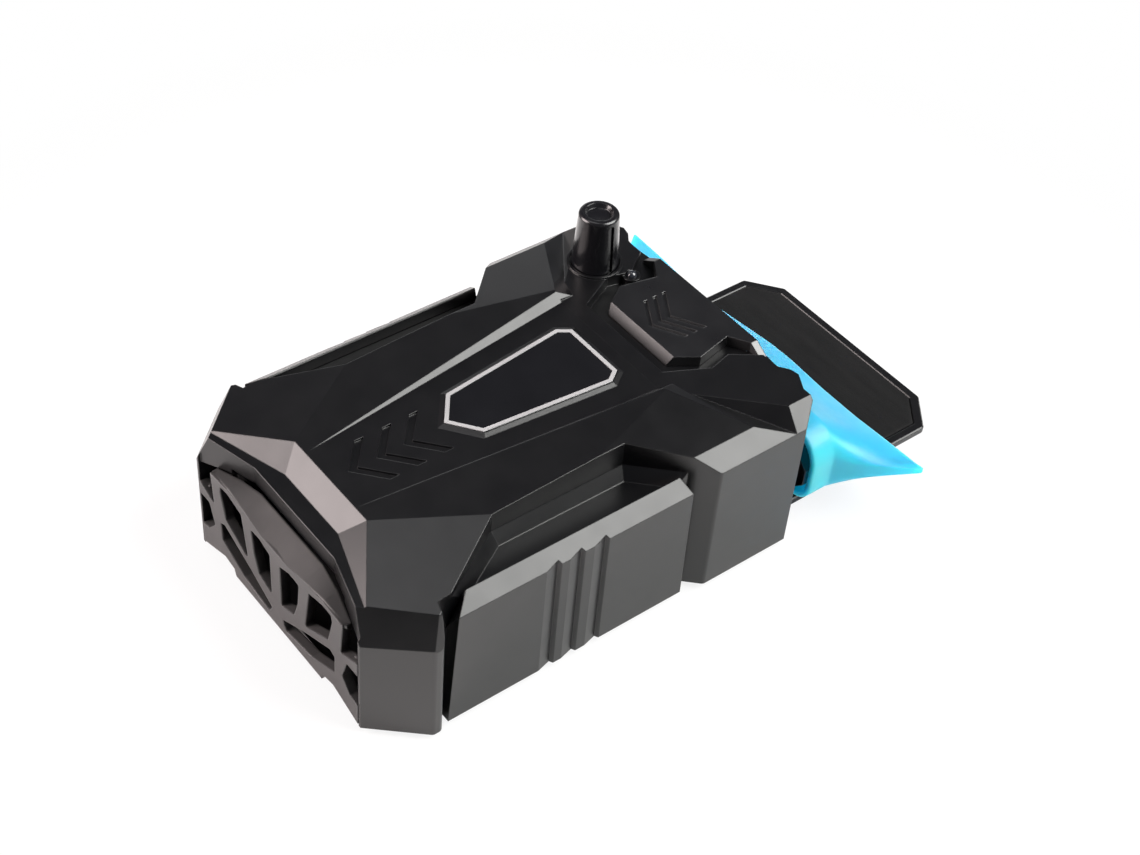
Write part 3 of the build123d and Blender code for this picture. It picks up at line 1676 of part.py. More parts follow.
clip_z = bearing_low_z - 1.0
groove_radius = motor_shaft_radius - 0.3
with BuildPart() as motor_shaft:
    with BuildSketch(Plane.XY.offset(blower_floor_top_z + 0.15)):
        Circle(motor_shaft_radius)
    extrude(amount=hub_top_z - 0.6 - blower_floor_top_z - 0.15)
    with BuildSketch(Plane.XY.offset(clip_z)):
        Circle(motor_shaft_radius + 0.1)
        Circle(groove_radius, mode=Mode.SUBTRACT)
    extrude(amount=clip_thickness, mode=Mode.SUBTRACT)
save(motor_shaft.part, "motor_shaft")

with BuildPart() as shaft_clip:
    with BuildSketch(Plane.XY.offset(clip_z + 0.02)):
        Circle(clip_radius)
        Circle(groove_radius + 0.02, mode=Mode.SUBTRACT)
        with Locations((0, -clip_radius / 2)):
            Rectangle(1.6 * groove_radius, clip_radius + 0.4, mode=Mode.SUBTRACT)
    extrude(amount=clip_thickness - 0.04)
save(shaft_clip.part, "shaft_clip")


def bearing(low_z, name):
    """Sleeve bearing in the motor tube."""
    with BuildPart() as sleeve:
        with BuildSketch(Plane.XY.offset(low_z)):
            Circle(bearing_radius)
            Circle(motor_shaft_radius + bearing_clearance, mode=Mode.SUBTRACT)
        extrude(amount=bearing_height)
    save(sleeve.part, name)


bearing(bearing_low_z + screw_gap, "lower_bearing")
bearing(tube_top_z - bearing_height, "upper_bearing")

# Stator, its coils and the motor board
stator_inner_radius = tube_radius + 0.03
stator_radius = magnet_inner_radius - air_gap
yoke_radius = tube_radius + 2.4
with BuildPart() as stator_core:
    with BuildSketch(Plane.XY.offset(stator_low_z)):
        Circle(yoke_radius)
        with PolarLocations(stator_radius / 2, pole_count):
            Rectangle(stator_radius - 0.6, pole_width)
        Circle(stator_inner_radius, mode=Mode.SUBTRACT)
        for pole in range(pole_count):
            with BuildLine():
                CenterArc((0, 0), stator_radius, 360 / pole_count * pole - 24, 48)
                CenterArc((0, 0), stator_radius - pole_tip, 360 / pole_count * pole - 24, 48)
                for end in (-24, 24):
                    angle = radians(360 / pole_count * pole + end)
                    Line(
                        (stator_radius * cos(angle), stator_radius * sin(angle)),
                        (
                            (stator_radius - pole_tip) * cos(angle),
                            (stator_radius - pole_tip) * sin(angle),
                        ),
                    )
            make_face()
    extrude(amount=stator_height)
save(stator_core.part, "stator_core")

coil_inner_x = yoke_radius + 0.1
coil_outer_x = stator_radius - pole_tip - 0.5
with BuildPart() as stator_coils:
    for pole in range(pole_count):
        turn = Rotation(0, 0, 360 / pole_count * pole)
        with Locations(
            turn * Location(((coil_inner_x + coil_outer_x) / 2, 0, stator_low_z + stator_height / 2))
        ):
            Box(
                coil_outer_x - coil_inner_x,
                pole_width + 2 * 0.5 * coil_thickness,
                stator_height + coil_thickness,
            )
    with BuildSketch(Plane.XY.offset(stator_low_z - screw_gap)):
        with PolarLocations(stator_radius / 2, pole_count):
            Rectangle(stator_radius, pole_width + 2 * screw_gap)
    extrude(amount=stator_height + 2 * screw_gap, mode=Mode.SUBTRACT)
save(stator_coils.part, "stator_coils")

with BuildPart() as motor_board:
    with BuildSketch(Plane.XY.offset(motor_board_z)):
        Circle(stator_radius - 0.6)
        Circle(tube_radius + fit_gap, mode=Mode.SUBTRACT)
    extrude(amount=motor_board_thickness)
save(motor_board.part, "motor_board")

# Divider between the outlet chamber and the suction side
window_left_x = scroll_points(0)[0][0]
with BuildPart() as plenum_divider:
    with BuildSketch(upright(outlet_y - fit_gap)):
        with BuildLine():
            Polyline(
                *both_halves(
                    [
                        (cavity_half_width - fit_gap, cover_top_z + fit_gap),
                        (cavity_half_width - fit_gap, side_roof_z - fit_gap),
                        (middle_half_width - fit_gap, side_roof_z - fit_gap),
                        (middle_half_width - fit_gap, front_roof_z),
                        (middle_half_width - fit_gap, middle_roof_z - fit_gap),
                    ]
                ),
                close=True,
            )
        make_face()
        with Locations(
            (
                (window_left_x + scroll_end_radius) / 2,
                (blower_floor_top_z + blower_wall_top_z) / 2,
            )
        ):
            Rectangle(
                scroll_end_radius - window_left_x,
                blower_wall_top_z - blower_floor_top_z,
                mode=Mode.SUBTRACT,
            )
    extrude(amount=divider_thickness)
save(plenum_divider.part, "plenum_divider")
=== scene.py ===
import bmesh
import bpy
import math
from mathutils import Matrix, Vector


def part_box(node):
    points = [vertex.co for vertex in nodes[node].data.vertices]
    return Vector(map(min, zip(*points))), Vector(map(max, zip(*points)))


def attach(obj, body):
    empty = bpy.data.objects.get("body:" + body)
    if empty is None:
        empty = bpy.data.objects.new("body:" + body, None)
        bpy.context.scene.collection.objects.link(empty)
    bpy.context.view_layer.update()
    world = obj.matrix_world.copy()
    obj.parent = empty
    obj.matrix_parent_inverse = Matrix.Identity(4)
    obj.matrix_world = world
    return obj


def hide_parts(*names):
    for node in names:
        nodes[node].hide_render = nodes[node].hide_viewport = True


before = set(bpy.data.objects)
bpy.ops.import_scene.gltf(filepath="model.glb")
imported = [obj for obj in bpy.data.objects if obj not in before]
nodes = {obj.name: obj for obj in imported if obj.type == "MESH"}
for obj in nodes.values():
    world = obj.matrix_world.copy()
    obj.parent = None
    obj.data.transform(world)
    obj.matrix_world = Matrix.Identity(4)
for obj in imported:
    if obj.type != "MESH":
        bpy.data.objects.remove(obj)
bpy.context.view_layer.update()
MM = 0.001
# White, or a scale that stretches nothing
PLAIN = (1.0, 1.0, 1.0)


# Materials

def new_material(name):
    """Material with an empty node tree but for its output and a Principled shader."""
    mat = bpy.data.materials.new(name)
    mat.use_nodes = True
    tree = mat.node_tree
    tree.nodes.clear()
    out = tree.nodes.new("ShaderNodeOutputMaterial")
    shader = tree.nodes.new("ShaderNodeBsdfPrincipled")
    tree.links.new(shader.outputs["BSDF"], out.inputs["Surface"])
    return mat, tree, shader


def noise(tree, scale, detail=3.0, stretch=PLAIN):
    """Noise over the object's own coordinates, scale in cycles per metre."""
    coords = tree.nodes.new("ShaderNodeTexCoord")
    mapping = tree.nodes.new("ShaderNodeMapping")
    mapping.inputs["Scale"].default_value = stretch
    texture = tree.nodes.new("ShaderNodeTexNoise")
    texture.inputs["Scale"].default_value = scale
    texture.inputs["Detail"].default_value = detail
    tree.links.new(coords.outputs["Object"], mapping.inputs["Vector"])
    tree.links.new(mapping.outputs["Vector"], texture.inputs["Vector"])
    return texture.outputs["Fac"]


def ramp(tree, source, low, high, start=0.3, end=0.7):
    """Maps a value from start to end onto two colours or two numbers."""
    if isinstance(low, (tuple, list)):
        node = tree.nodes.new("ShaderNodeValToRGB")
        node.color_ramp.elements[0].position = start
        node.color_ramp.elements[0].color = (*low, 1.0)
        node.color_ramp.elements[1].position = end
        node.color_ramp.elements[1].color = (*high, 1.0)
        tree.links.new(source, node.inputs["Fac"])
        return node.outputs["Color"]
    node = tree.nodes.new("ShaderNodeMapRange")
    node.inputs["From Min"].default_value = start
    node.inputs["From Max"].default_value = end
    node.inputs["To Min"].default_value = low
    node.inputs["To Max"].default_value = high
    tree.links.new(source, node.inputs["Value"])
    return node.outputs["Result"]


def multiply(tree, first, second):
    """Product of two colours."""
    node = tree.nodes.new("ShaderNodeMix")
    node.data_type = "RGBA"
    node.blend_type = "MULTIPLY"
    node.inputs["Factor"].default_value = 1.0
    tree.links.new(first, node.inputs["A"])
    tree.links.new(second, node.inputs["B"])
    return node.outputs["Result"]


def bump(tree, shader, source, depth, strength=1.0, previous=None):
    """Bump of a depth in metres."""
    node = tree.nodes.new("ShaderNodeBump")
    node.inputs["Strength"].default_value = strength
    node.inputs["Distance"].default_value = depth
    tree.links.new(source, node.inputs["Height"])
    if previous is not None:
        tree.links.new(previous, node.inputs["Normal"])
    tree.links.new(node.outputs["Normal"], shader.inputs["Normal"])
    return node.outputs["Normal"]


def rounded(tree, radius_mm):
    """Normal that rounds the piece's edges over a radius."""
    node = tree.nodes.new("ShaderNodeBevel")
    node.samples = 6
    node.inputs["Radius"].default_value = radius_mm * MM
    return node.outputs["Normal"]


def facing(tree, axis, start, end):
    """How far a face looks along an axis of the part, 0 at the start cosine and 1 at the end."""
    coords = tree.nodes.new("ShaderNodeTexCoord")
    dot = tree.nodes.new("ShaderNodeVectorMath")
    dot.operation = "DOT_PRODUCT"
    dot.inputs[1].default_value = axis
    tree.links.new(coords.outputs["Normal"], dot.inputs[0])
    return ramp(tree, dot.outputs["Value"], 0.0, 1.0, start, end)


def moulded(
    name, low, high, rough, edge=0.5, grain=3200.0, depth=0.00002, coat=0.0, specular=0.5, satin=None
):
    """Moulded plastic: cloudy colour, fine spark-eroded grain, soft edges and uneven sheen.

    satin is (axis, start, end, amount): faces that look along the axis are rougher by the amount.
    """
    mat, tree, shader = new_material(name)
    tree.links.new(ramp(tree, noise(tree, 60.0, 4.0), low, high), shader.inputs["Base Color"])
    sheen = ramp(tree, noise(tree, 130.0, 5.0), rough[0], rough[1])
    if satin:
        axis, start, end, amount = satin
        added = tree.nodes.new("ShaderNodeMath")
        added.operation = "MULTIPLY_ADD"
        added.inputs[1].default_value = amount
        tree.links.new(facing(tree, axis, start, end), added.inputs[0])
        tree.links.new(sheen, added.inputs[2])
        sheen = added.outputs[0]
    tree.links.new(sheen, shader.inputs["Roughness"])
    shader.inputs["Specular IOR Level"].default_value = specular
    shader.inputs["Coat Weight"].default_value = coat
    shader.inputs["Coat Roughness"].default_value = 0.08
    bump(tree, shader, noise(tree, grain, 2.0), depth, 0.35, rounded(tree, edge))
    return mat


def metal(name, low, high, rough, stretch=PLAIN, scale=900.0):
    """Metal with drawn or tumbled marks."""
    mat, tree, shader = new_material(name)
    marks = noise(tree, scale, 4.0, stretch)
    tree.links.new(ramp(tree, marks, low, high), shader.inputs["Base Color"])
    tree.links.new(ramp(tree, marks, rough[0], rough[1]), shader.inputs["Roughness"])
    shader.inputs["Metallic"].default_value = 1.0
    bump(tree, shader, marks, 0.00001, 0.3)
    return mat


def pad_material():
    """Fine-celled foam rubber with faint wiped streaks."""
    mat, tree, shader = new_material("foam_pad")
    cells = tree.nodes.new("ShaderNodeTexVoronoi")
    cells.inputs["Scale"].default_value = 2600.0
    coords = tree.nodes.new("ShaderNodeTexCoord")
    tree.links.new(coords.outputs["Object"], cells.inputs["Vector"])
    streaks = noise(tree, 160.0, 4.0, (0.3, 1.6, 1.0))
    tree.links.new(
        ramp(tree, streaks, (0.0018, 0.0018, 0.0021), (0.0044, 0.0043, 0.0045)),
        shader.inputs["Base Color"],
    )
    tree.links.new(ramp(tree, streaks, 0.82, 0.68), shader.inputs["Roughness"])
    shader.inputs["Specular IOR Level"].default_value = 0.2
    shader.inputs["Sheen Weight"].default_value = 0.015
    shader.inputs["Sheen Roughness"].default_value = 0.5
    first = bump(tree, shader, cells.outputs["Distance"], 0.00008, 0.5)
    bump(tree, shader, noise(tree, 700.0, 5.0, (0.5, 1.5, 1.0)), 0.0001, 0.4, first)
    return mat


# Where the hood's colour ramp, with its painted shade, starts and ends, in millimetres along the part
COLLAR_BACK_Y = 38.0
MOUTH_FRONT_Y = 66.0


def silicone_material():
    """Soft silicone rubber: light passes in, with a faint powdery bloom; painted shade darkens the
    blue along the middle and painted light makes faces looking towards +x and down paler.
    """
    mat, tree, shader = new_material("silicone")
    coords = tree.nodes.new("ShaderNodeTexCoord")
    split = tree.nodes.new("ShaderNodeSeparateXYZ")
    tree.links.new(coords.outputs["Object"], split.inputs[0])
    along = ramp(tree, split.outputs["Y"], 0.0, 1.0, COLLAR_BACK_Y * MM, MOUTH_FRONT_Y * MM)
    # Painted shade: the blue darkens from the collar fold through the middle and turns lighter again
    # at the rim, where light shines through.
    painted_shade_ramp = tree.nodes.new("ShaderNodeValToRGB")
    stops = painted_shade_ramp.color_ramp.elements
    stops[0].position, stops[0].color = 0.22, (0.050, 0.63, 0.97, 1.0)
    stops[1].position, stops[1].color = 1.0, (0.046, 0.61, 0.96, 1.0)
    fold_painted_shade = stops.new(0.30)
    fold_painted_shade.color = (0.036, 0.60, 0.97, 1.0)
    middle = stops.new(0.65)
    middle.color = (0.036, 0.59, 0.96, 1.0)
    tree.links.new(along, painted_shade_ramp.inputs["Fac"])
    clouds = ramp(tree, noise(tree, 45.0, 3.0), (0.92, 0.94, 0.95), PLAIN)
    # Painted light: faces that look towards +x and down are painted paler, standing in for light
    # shining through the silicone.
    sides = facing(tree, (0.87, 0.0, -0.5), 0.0, 0.5)
    painted_glow = ramp(tree, sides, (0.85, 0.63, 0.86), (1.0, 0.91, 1.0), 0.0, 1.0)
    colour = multiply(tree, multiply(tree, painted_shade_ramp.outputs["Color"], clouds), painted_glow)
    tree.links.new(colour, shader.inputs["Base Color"])
    tree.links.new(ramp(tree, noise(tree, 260.0, 4.0), 0.34, 0.46), shader.inputs["Roughness"])
    shader.inputs["IOR"].default_value = 1.41
    shader.inputs["Subsurface Weight"].default_value = 0.8
    shader.inputs["Subsurface Radius"].default_value = (0.2, 0.7, 1.0)
    shader.inputs["Subsurface Scale"].default_value = 0.02
    shader.inputs["Sheen Weight"].default_value = 0.05
    shader.inputs["Sheen Roughness"].default_value = 0.4
    bump(tree, shader, noise(tree, 900.0, 3.0), 0.00003, 0.3)
    return mat


def lens_material():
    """Dark tinted lamp lens, glossy under a coat."""
    mat, tree, shader = new_material("lamp_lens")
    tree.links.new(
        ramp(tree, noise(tree, 400.0), (0.010, 0.011, 0.014), (0.02, 0.022, 0.028)),
        shader.inputs["Base Color"],
    )
    shader.inputs["Roughness"].default_value = 0.06
    shader.inputs["Coat Weight"].default_value = 0.6
    shader.inputs["Coat Roughness"].default_value = 0.03
    return mat


shell_black = moulded(
    "shell_black", (0.0022, 0.0022, 0.0027), (0.0031, 0.0031, 0.0036), (0.28, 0.33), edge=0.4
)
grip_black = moulded(
    "grip_black", (0.0028, 0.0028, 0.0034), (0.0038, 0.0038, 0.0044), (0.30, 0.35), edge=0.35
)
grille_black = moulded(
    "grille_black", (0.0050, 0.0044, 0.0044), (0.0066, 0.0058, 0.0058), (0.30, 0.36),
    edge=0.7, specular=0.8, satin=((0.0, 0.0, 1.0), 0.25, 0.6, 0.42),
)
cap_black = moulded(
    "cap_black", (0.0024, 0.0024, 0.0030), (0.0034, 0.0034, 0.0041), (0.27, 0.33),
    edge=0.4, specular=0.9, satin=((0.0, -1.0, 0.0), 0.4, 0.8, 0.22),
)
gloss_black = moulded(
    "gloss_black", (0.0040, 0.0041, 0.0050), (0.0058, 0.0060, 0.0072), (0.12, 0.18),
    edge=0.1, grain=1500.0, depth=0.000004, coat=0.3,
)
knob_black = moulded(
    "knob_black", (0.0042, 0.0042, 0.0050), (0.0060, 0.0060, 0.0074), (0.20, 0.27),
    edge=0.35, grain=2400.0, depth=0.000006, coat=0.2,
)
plate_black = moulded(
    "plate_black", (0.0034, 0.0034, 0.0040), (0.0048, 0.0048, 0.0055), (0.28, 0.34), edge=0.4
)
inner_black = moulded(
    "inner_black", (0.005, 0.005, 0.0055), (0.008, 0.008, 0.0085), (0.45, 0.55), edge=0.3
)
silver_trim = moulded(
    "silver_trim", (0.27, 0.27, 0.275), (0.33, 0.33, 0.335), (0.30, 0.38), edge=0.15, grain=2800.0
)
socket_black = moulded(
    "socket_black", (0.005, 0.005, 0.0055), (0.008, 0.008, 0.0085), (0.25, 0.35), edge=0.2
)
rubber_black = moulded(
    "rubber_black", (0.007, 0.007, 0.007), (0.011, 0.011, 0.011), (0.7, 0.85), grain=1800.0
)
board_green = moulded(
    "board_green", (0.008, 0.08, 0.035), (0.015, 0.12, 0.055), (0.25, 0.35), edge=0.1, grain=1200.0
)
ferrite_grey = moulded(
    "ferrite_grey", (0.04, 0.04, 0.042), (0.06, 0.06, 0.062), (0.5, 0.65), edge=0.2, grain=1500.0
)
nickel = metal("nickel", (0.55, 0.54, 0.51), (0.68, 0.66, 0.62), (0.22, 0.34))
zinc = metal("zinc", (0.48, 0.49, 0.51), (0.62, 0.63, 0.65), (0.28, 0.42))
bronze = metal("bronze", (0.42, 0.27, 0.12), (0.58, 0.38, 0.18), (0.35, 0.5))
lamination = metal("lamination", (0.3, 0.3, 0.31), (0.42, 0.42, 0.43), (0.35, 0.5), (1.0, 1.0, 8.0))
copper = metal("copper", (0.5, 0.2, 0.07), (0.68, 0.3, 0.12), (0.25, 0.38), (1.0, 1.0, 9.0), 1400.0)
foam_black = pad_material()
silicone = silicone_material()
lens_dark = lens_material()

NODE_MATERIALS = {
    "upper_shell": shell_black,
    "front_grille": grille_black,
    "base_cover": shell_black,
    "rubber_feet": rubber_black,
    "base_screws": zinc,
    "left_grip_panel": grip_black,
    "right_grip_panel": grip_black,
    "label_border": silver_trim,
    "label_plate": gloss_black,
    "bracket": shell_black,
    "bracket_cap": cap_black,
    "support_plate": plate_black,
    "support_pad": foam_black,
    "plate_screws": zinc,
    "suction_hood": silicone,
    "speed_knob": knob_black,
    "potentiometer_shaft": nickel,
    "potentiometer_body": nickel,
    "potentiometer_nut": nickel,
    "indicator_lamp": lens_dark,
    "control_board": board_green,
    "board_screws": zinc,
    "power_socket": socket_black,
    "blower_housing": inner_black,
    "blower_cover": inner_black,
    "blower_screws": zinc,
    "impeller": inner_black,
    "magnet_ring": ferrite_grey,
    "motor_shaft": nickel,
    "shaft_clip": nickel,
    "lower_bearing": bronze,
    "upper_bearing": bronze,
    "stator_core": lamination,
    "stator_coils": copper,
    "motor_board": board_green,
    "plenum_divider": inner_black,
}

for node_name, material in NODE_MATERIALS.items():
    node = nodes[node_name]
    node.data.materials.clear()
    node.data.materials.append(material)


def smooth_piece(name, mesh, material):
    """Piece of the scene made from a built mesh, every face smooth and facing out."""
    bmesh.ops.recalc_face_normals(mesh, faces=mesh.faces)
    data = bpy.data.meshes.new(name)
    mesh.to_mesh(data)
    mesh.free()
    data.polygons.foreach_set("use_smooth", [True] * len(data.polygons))
    data.materials.append(material)
    piece = bpy.data.objects.new(name, data)
    bpy.context.scene.collection.objects.link(piece)
    return piece


# Silicone hood, drawn in millimetres with the blower's axis at x = y = 0

BLOWER_Y = -33.0
HOOD_WALL = 1.6
COLLAR_HALF = 46.75
COLLAR_LOW = 7.05
COLLAR_TOP = 29.95
COLLAR_UPPER_RADIUS = 9.5
COLLAR_LOWER_RADIUS = 6.0
# Sections of the collar: place along the part and how much its edge draws in
COLLAR_SECTIONS = ((71.0, -0.2), (71.2, 0.0), (74.8, 0.0), (78.0, 0.0), (78.45, 0.0))
FLARE_START = 78.5
FLARE_END = 98.3
FLARE_STEPS = 16
FLARE_EASE = 1.15
FLARE_SAG = 0.5
MOUTH_TIP = 62.6
MOUTH_LOW = 7.0
MOUTH_TIP_DRAW = 2.2
MOUTH_TIP_DROP = 0.3


def place(x, y, z):
    """Point of the part's frame in metres, from the hood's millimetres."""
    return Vector((x * MM, (y + BLOWER_Y) * MM, z * MM))


def along_line(points, count):
    """Evenly spaced points on an open line, the last one left out."""
    lengths = [0.0]
    for first, second in zip(points[:-1], points[1:]):
        lengths.append(lengths[-1] + math.dist(first, second))
    made = []
    index = 0
    for step in range(count):
        goal = lengths[-1] * step / count
        while lengths[index + 1] < goal:
            index += 1
        share = (goal - lengths[index]) / (lengths[index + 1] - lengths[index])
        (ax, az), (bx, bz) = points[index], points[index + 1]
        made.append((ax + (bx - ax) * share, az + (bz - az) * share))
    return made


def arc(cx, cz, radius, start, end, count=12):
    """Points of an arc, angles in degrees."""
    made = []
    for step in range(count + 1):
        angle = math.radians(start + (end - start) * step / count)
        made.append((cx + radius * math.cos(angle), cz + radius * math.sin(angle)))
    return made


def flip(points):
    """The same line on the left, run the other way."""
    return [(-x, z) for x, z in reversed(points)]


# Points on each stretch of a section: top, upper corner, side, lower corner, bottom, on both halves
STRETCHES = (20, 14, 6, 14, 20, 20, 14, 6, 14, 20)
RING = sum(STRETCHES)


def ring_points(stretches):
    """All points of a section from its stretches."""
    made = []
    for points, count in zip(stretches, STRETCHES):
        made += along_line(points, count)
    return made


def collar_ring(inset):
    """Section of the collar, a rounded slot."""
    half, low, top = COLLAR_HALF - inset, COLLAR_LOW + inset, COLLAR_TOP - inset
    upper, lower = COLLAR_UPPER_RADIUS - 0.5 * inset, COLLAR_LOWER_RADIUS - 0.5 * inset
    right = [
        [(0.0, top), (half - upper, top)],
        arc(half - upper, top - upper, upper, 90.0, 0.0),
        [(half, top - upper), (half, low + lower)],
        arc(half - lower, low + lower, lower, 0.0, -90.0),
        [(half - lower, low), (0.0, low)],
    ]
    return ring_points(right + [flip(points) for points in reversed(right)])


def mouth_ring(inset):
    """Section of the mouth: a wide beak with sharp sides and a waved upper lip."""
    tip = MOUTH_TIP - MOUTH_TIP_DRAW * inset
    low = MOUTH_LOW + inset
    drawn = MOUTH_TIP_DROP * inset
    right = [
        [(0.0, 18.5), (9.0, 18.7), (22.0, 17.8), (36.0, 17.7)],
        [(36.0, 17.7), (50.0, 18.5), (tip, 19.2 - drawn)],
        [(tip, 19.2 - drawn), (tip, 17.6)],
        [(tip, 17.6), (43.0, low + 0.4), (41.0, low)],
        [(41.0, low), (0.0, low)],
    ]
    left = [
        [(0.0, 18.5), (9.0, 17.4), (22.0, 15.7), (36.0, 15.4)],
        [(36.0, 15.4), (50.0, 16.6), (tip, 17.2 - drawn)],
        [(tip, 17.2 - drawn), (tip, 15.8)],
        [(tip, 15.8), (43.0, low + 0.4), (41.0, low)],
        [(41.0, low), (0.0, low)],
    ]
    top = (0, 1, len(right) + 3, len(right) + 4)
    made = []
    stretches = right + [flip(points) for points in reversed(left)]
    for index, (points, count) in enumerate(zip(stretches, STRETCHES)):
        drop = inset if index in top else 0.0
        made += [(x, z - drop) for x, z in along_line(points, count)]
    return made


def hood_surface(inset):
    """Sections of the hood from the collar's edge to the mouth, moved in by a wall."""
    collar = collar_ring(inset)
    mouth = mouth_ring(inset)
    rings = []
    for y, grow in COLLAR_SECTIONS:
        rings.append((y, [(x * (1 + grow / 46.0), z) for x, z in collar]))
    for step in range(1, FLARE_STEPS + 1):
        share = (step / FLARE_STEPS) ** FLARE_EASE
        y = FLARE_START + (FLARE_END - FLARE_START) * share
        bow = math.sin(math.pi * share)
        ring = []
        for (cx, cz), (mx, mz) in zip(collar, mouth):
            x = cx + (mx - cx) * share
            z = cz + (mz - cz) * share
            if cz > 20.0:
                z -= FLARE_SAG * bow
            ring.append((x, z))
        rings.append((y, ring))
    return rings


def build_hood():
    """Outer and inner skins joined at both ends."""
    mesh = bmesh.new()
    outer = [[mesh.verts.new(place(x, y, z)) for x, z in ring] for y, ring in hood_surface(0.0)]
    inner = [[mesh.verts.new(place(x, y, z)) for x, z in ring] for y, ring in hood_surface(HOOD_WALL)]

    def skin(rings, turned):
        for first, second in zip(rings[:-1], rings[1:]):
            for index in range(RING):
                after = (index + 1) % RING
                face = [first[index], first[after], second[after], second[index]]
                mesh.faces.new(face if turned else face[::-1])

    skin(outer, False)
    skin(inner, True)
    skin([outer[-1], inner[-1]], False)
    skin([inner[0], outer[0]], False)
    return smooth_piece("silicone_hood", mesh, silicone)


hood = build_hood()
subdivide = hood.modifiers.new("smooth", "SUBSURF")
subdivide.levels = 1
subdivide.render_levels = 1
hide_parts("suction_hood")
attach(hood, "intake")


# Foam pad on the support plate

PAD_CUT_X = 8.5 * MM
PAD_CUT_Y = 6.7 * MM
PAD_STEP = 2.0 * MM
# Rolled edge: how far a ring is moved in, in millimetres, at which share of the height
PAD_LEVELS = ((0.1, 0.0), (0.0, 0.3), (0.0, 0.6), (0.12, 0.85), (0.45, 0.97), (1.2, 1.0))


def inset_outline(outline, amount):
    """Convex outline, run anticlockwise, with every side moved in."""
    made = []
    count = len(outline)
    for index in range(count):
        before, corner, after = outline[index - 1], outline[index], outline[(index + 1) % count]
        first = (Vector(corner) - Vector(before)).normalized()
        second = (Vector(after) - Vector(corner)).normalized()
        turn = first.x * second.y - first.y * second.x
        if abs(turn) < 1e-6:
            shift = Vector((-first.y, first.x)) * amount
        else:
            shift = (second - first) * (amount / turn)
        made.append((corner[0] + shift.x, corner[1] + shift.y))
    return made


def build_pad():
    """Pad with a crowned face and rolled edges, on the outline of its solid."""
    low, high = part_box("support_pad")
    half = high.x
    near, far = low.y, high.y
    outline = [
        (-half, near),
        (half, near),
        (half, far - PAD_CUT_Y),
        (half - PAD_CUT_X, far),
        (-half + PAD_CUT_X, far),
        (-half, far - PAD_CUT_Y),
    ]
    dense = []
    for first, second in zip(outline, outline[1:] + outline[:1]):
        steps = max(2, round(math.dist(first, second) / PAD_STEP))
        for step in range(steps):
            share = step / steps
            dense.append(
                (first[0] + (second[0] - first[0]) * share, first[1] + (second[1] - first[1]) * share)
            )
    mesh = bmesh.new()
    rings = []
    for amount, height in PAD_LEVELS:
        z = low.z + (high.z - low.z) * height
        rings.append([mesh.verts.new((x, y, z)) for x, y in inset_outline(dense, amount * MM)])
    count = len(dense)
    for first, second in zip(rings[:-1], rings[1:]):
        for index in range(count):
            after = (index + 1) % count
            mesh.faces.new([first[index], first[after], second[after], second[index]])
    mesh.faces.new(rings[-1])
    mesh.faces.new(rings[0][::-1])
    return smooth_piece("foam_pad", mesh, foam_black)


pad = build_pad()
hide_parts("support_pad")
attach(pad, "intake")


# Floor, light and camera

FLOOR_SIZE = 3.0
CAMERA_AZIMUTH, CAMERA_ELEVATION, CAMERA_ROLL = 48.576, 43.845, 5.38
CAMERA_TARGET = (-11.166 * MM, 1.004 * MM, 10.0 * MM)
CAMERA_DISTANCE = 0.538833
CAMERA_LENS = 61.07
# Name, direction, distance, half spreads in degrees, brightness and colour
LAMPS = (
    ("right_rear", (0.50, 0.51, 0.70), 1.3, (22, 25), 11.0, (1.0, 1.0, 0.975)),
    ("left_front", (-0.50, -0.755, 0.42), 1.3, (20, 27), 11.5, (1.0, 0.88, 0.865)),
    ("left_rear", (-0.830, 0.519, 0.208), 1.3, (19, 11), 1.5, PLAIN),
    ("overhead", (-0.25, -0.05, 0.97), 1.6, (15, 15), 1.9, PLAIN),
)


def floor_material():
    """Pale sheet that is white to the camera, keeps a soft shadow and carries painted shade that
    darkens it away from the middle.
    """
    mat = bpy.data.materials.new("pale_floor")
    mat.use_nodes = True
    tree = mat.node_tree
    tree.nodes.clear()
    out = tree.nodes.new("ShaderNodeOutputMaterial")
    coords = tree.nodes.new("ShaderNodeTexCoord")
    reach = tree.nodes.new("ShaderNodeVectorMath")
    reach.operation = "LENGTH"
    tree.links.new(coords.outputs["Object"], reach.inputs[0])
    diffuse = tree.nodes.new("ShaderNodeBsdfDiffuse")
    # Painted shade: the floor's grey falls from 0.80 near the middle to 0.08 further out, standing in
    # for less light there.
    far = ramp(tree, reach.outputs["Value"], 0.0, 1.0, 0.13, 0.32)
    grey = ramp(tree, far, (0.80, 0.80, 0.80), (0.08, 0.08, 0.08), 0.0, 1.0)
    tree.links.new(grey, diffuse.inputs["Color"])
    glow = tree.nodes.new("ShaderNodeEmission")
    glow.inputs["Color"].default_value = (1.0, 1.0, 1.0, 1.0)
    glow.inputs["Strength"].default_value = 1.0
    path = tree.nodes.new("ShaderNodeLightPath")
    share = tree.nodes.new("ShaderNodeMath")
    share.operation = "MULTIPLY"
    tree.links.new(path.outputs["Is Camera Ray"], share.inputs[0])
    tree.links.new(ramp(tree, reach.outputs["Value"], 0.84, 1.0, 0.14, 0.24), share.inputs[1])
    mix = tree.nodes.new("ShaderNodeMixShader")
    tree.links.new(share.outputs[0], mix.inputs["Fac"])
    tree.links.new(diffuse.outputs["BSDF"], mix.inputs[1])
    tree.links.new(glow.outputs["Emission"], mix.inputs[2])
    tree.links.new(mix.outputs["Shader"], out.inputs["Surface"])
    return mat


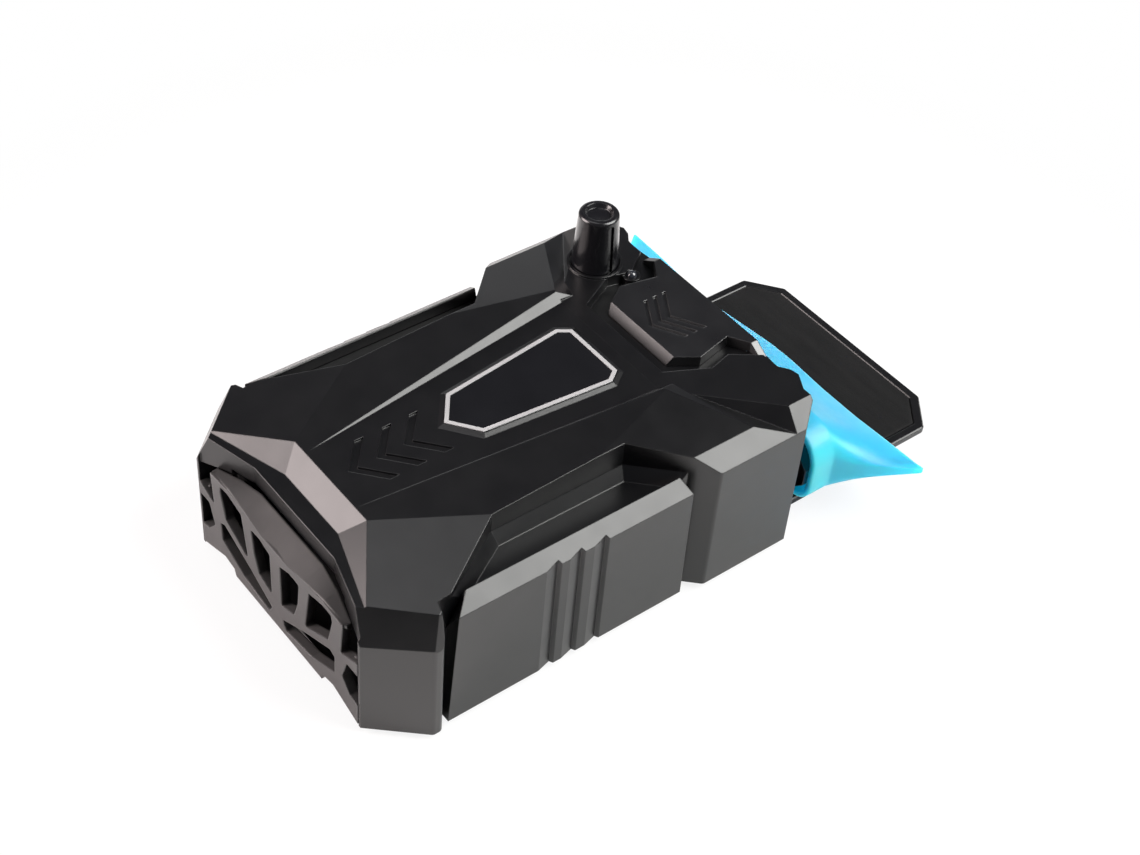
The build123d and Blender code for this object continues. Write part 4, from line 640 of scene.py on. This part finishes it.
def add_floor():
    """Flat sheet under the part."""
    mesh = bmesh.new()
    signs = ((-1, -1), (1, -1), (1, 1), (-1, 1))
    mesh.faces.new([mesh.verts.new((x * FLOOR_SIZE, y * FLOOR_SIZE, 0.0)) for x, y in signs])
    data = bpy.data.meshes.new("floor")
    mesh.to_mesh(data)
    mesh.free()
    floor = bpy.data.objects.new("floor", data)
    bpy.context.scene.collection.objects.link(floor)
    data.materials.append(floor_material())


def add_world():
    """White to the camera; a dim room, darker overhead, to the object."""
    world = bpy.data.worlds.new("room")
    bpy.context.scene.world = world
    world.use_nodes = True
    tree = world.node_tree
    tree.nodes.clear()
    out = tree.nodes.new("ShaderNodeOutputWorld")
    mix = tree.nodes.new("ShaderNodeMixShader")
    path = tree.nodes.new("ShaderNodeLightPath")
    seen = tree.nodes.new("ShaderNodeBackground")
    seen.inputs["Color"].default_value = (1.0, 1.0, 1.0, 1.0)
    seen.inputs["Strength"].default_value = 1.0
    room = tree.nodes.new("ShaderNodeBackground")
    room.inputs["Strength"].default_value = 1.0
    coords = tree.nodes.new("ShaderNodeTexCoord")
    split = tree.nodes.new("ShaderNodeSeparateXYZ")
    tree.links.new(coords.outputs["Generated"], split.inputs[0])
    heights = ramp(tree, split.outputs["Z"], (0.16, 0.165, 0.18), (0.07, 0.07, 0.08), 0.0, 0.75)
    tree.links.new(heights, room.inputs["Color"])
    tree.links.new(path.outputs["Is Camera Ray"], mix.inputs["Fac"])
    tree.links.new(room.outputs["Background"], mix.inputs[1])
    tree.links.new(seen.outputs["Background"], mix.inputs[2])
    tree.links.new(mix.outputs["Shader"], out.inputs["Surface"])


def add_lamp(name, direction, distance, spread, strength, colour):
    """Oval lamp that faces the object: half spreads in degrees, strength as a surface's brightness."""
    data = bpy.data.lights.new(name, "AREA")
    data.shape = "ELLIPSE"
    data.size = 2 * distance * math.tan(math.radians(spread[0]))
    data.size_y = 2 * distance * math.tan(math.radians(spread[1]))
    data.energy = strength * math.pi * math.pi / 4 * data.size * data.size_y
    data.color = colour
    lamp = bpy.data.objects.new(name, data)
    bpy.context.scene.collection.objects.link(lamp)
    along = Vector(direction).normalized()
    lamp.location = along * distance
    lamp.rotation_euler = along.to_track_quat("Z", "Y").to_euler()


def add_camera():
    """Camera of the photograph: long lens, above the right front corner."""
    azimuth = math.radians(CAMERA_AZIMUTH)
    elevation = math.radians(CAMERA_ELEVATION)
    roll = math.radians(CAMERA_ROLL)
    back = Vector(
        (
            math.sin(azimuth) * math.cos(elevation),
            -math.cos(azimuth) * math.cos(elevation),
            math.sin(elevation),
        )
    )
    right = Vector((math.cos(azimuth), math.sin(azimuth), 0.0))
    up = back.cross(right)
    rolled_right = math.cos(roll) * right + math.sin(roll) * up
    rolled_up = -math.sin(roll) * right + math.cos(roll) * up
    data = bpy.data.cameras.new("camera")
    data.lens = CAMERA_LENS
    data.sensor_width = 36.0
    data.sensor_fit = "HORIZONTAL"
    data.clip_start = 0.01
    data.clip_end = 20.0
    camera = bpy.data.objects.new("camera", data)
    bpy.context.scene.collection.objects.link(camera)
    turn = Matrix((rolled_right, rolled_up, back)).transposed()
    place_at = Vector(CAMERA_TARGET) + back * CAMERA_DISTANCE
    camera.matrix_world = Matrix.Translation(place_at) @ turn.to_4x4()
    bpy.context.scene.camera = camera


add_floor()
add_world()
for lamp_values in LAMPS:
    add_lamp(*lamp_values)
add_camera()
bpy.context.scene.view_settings.view_transform = "Standard"
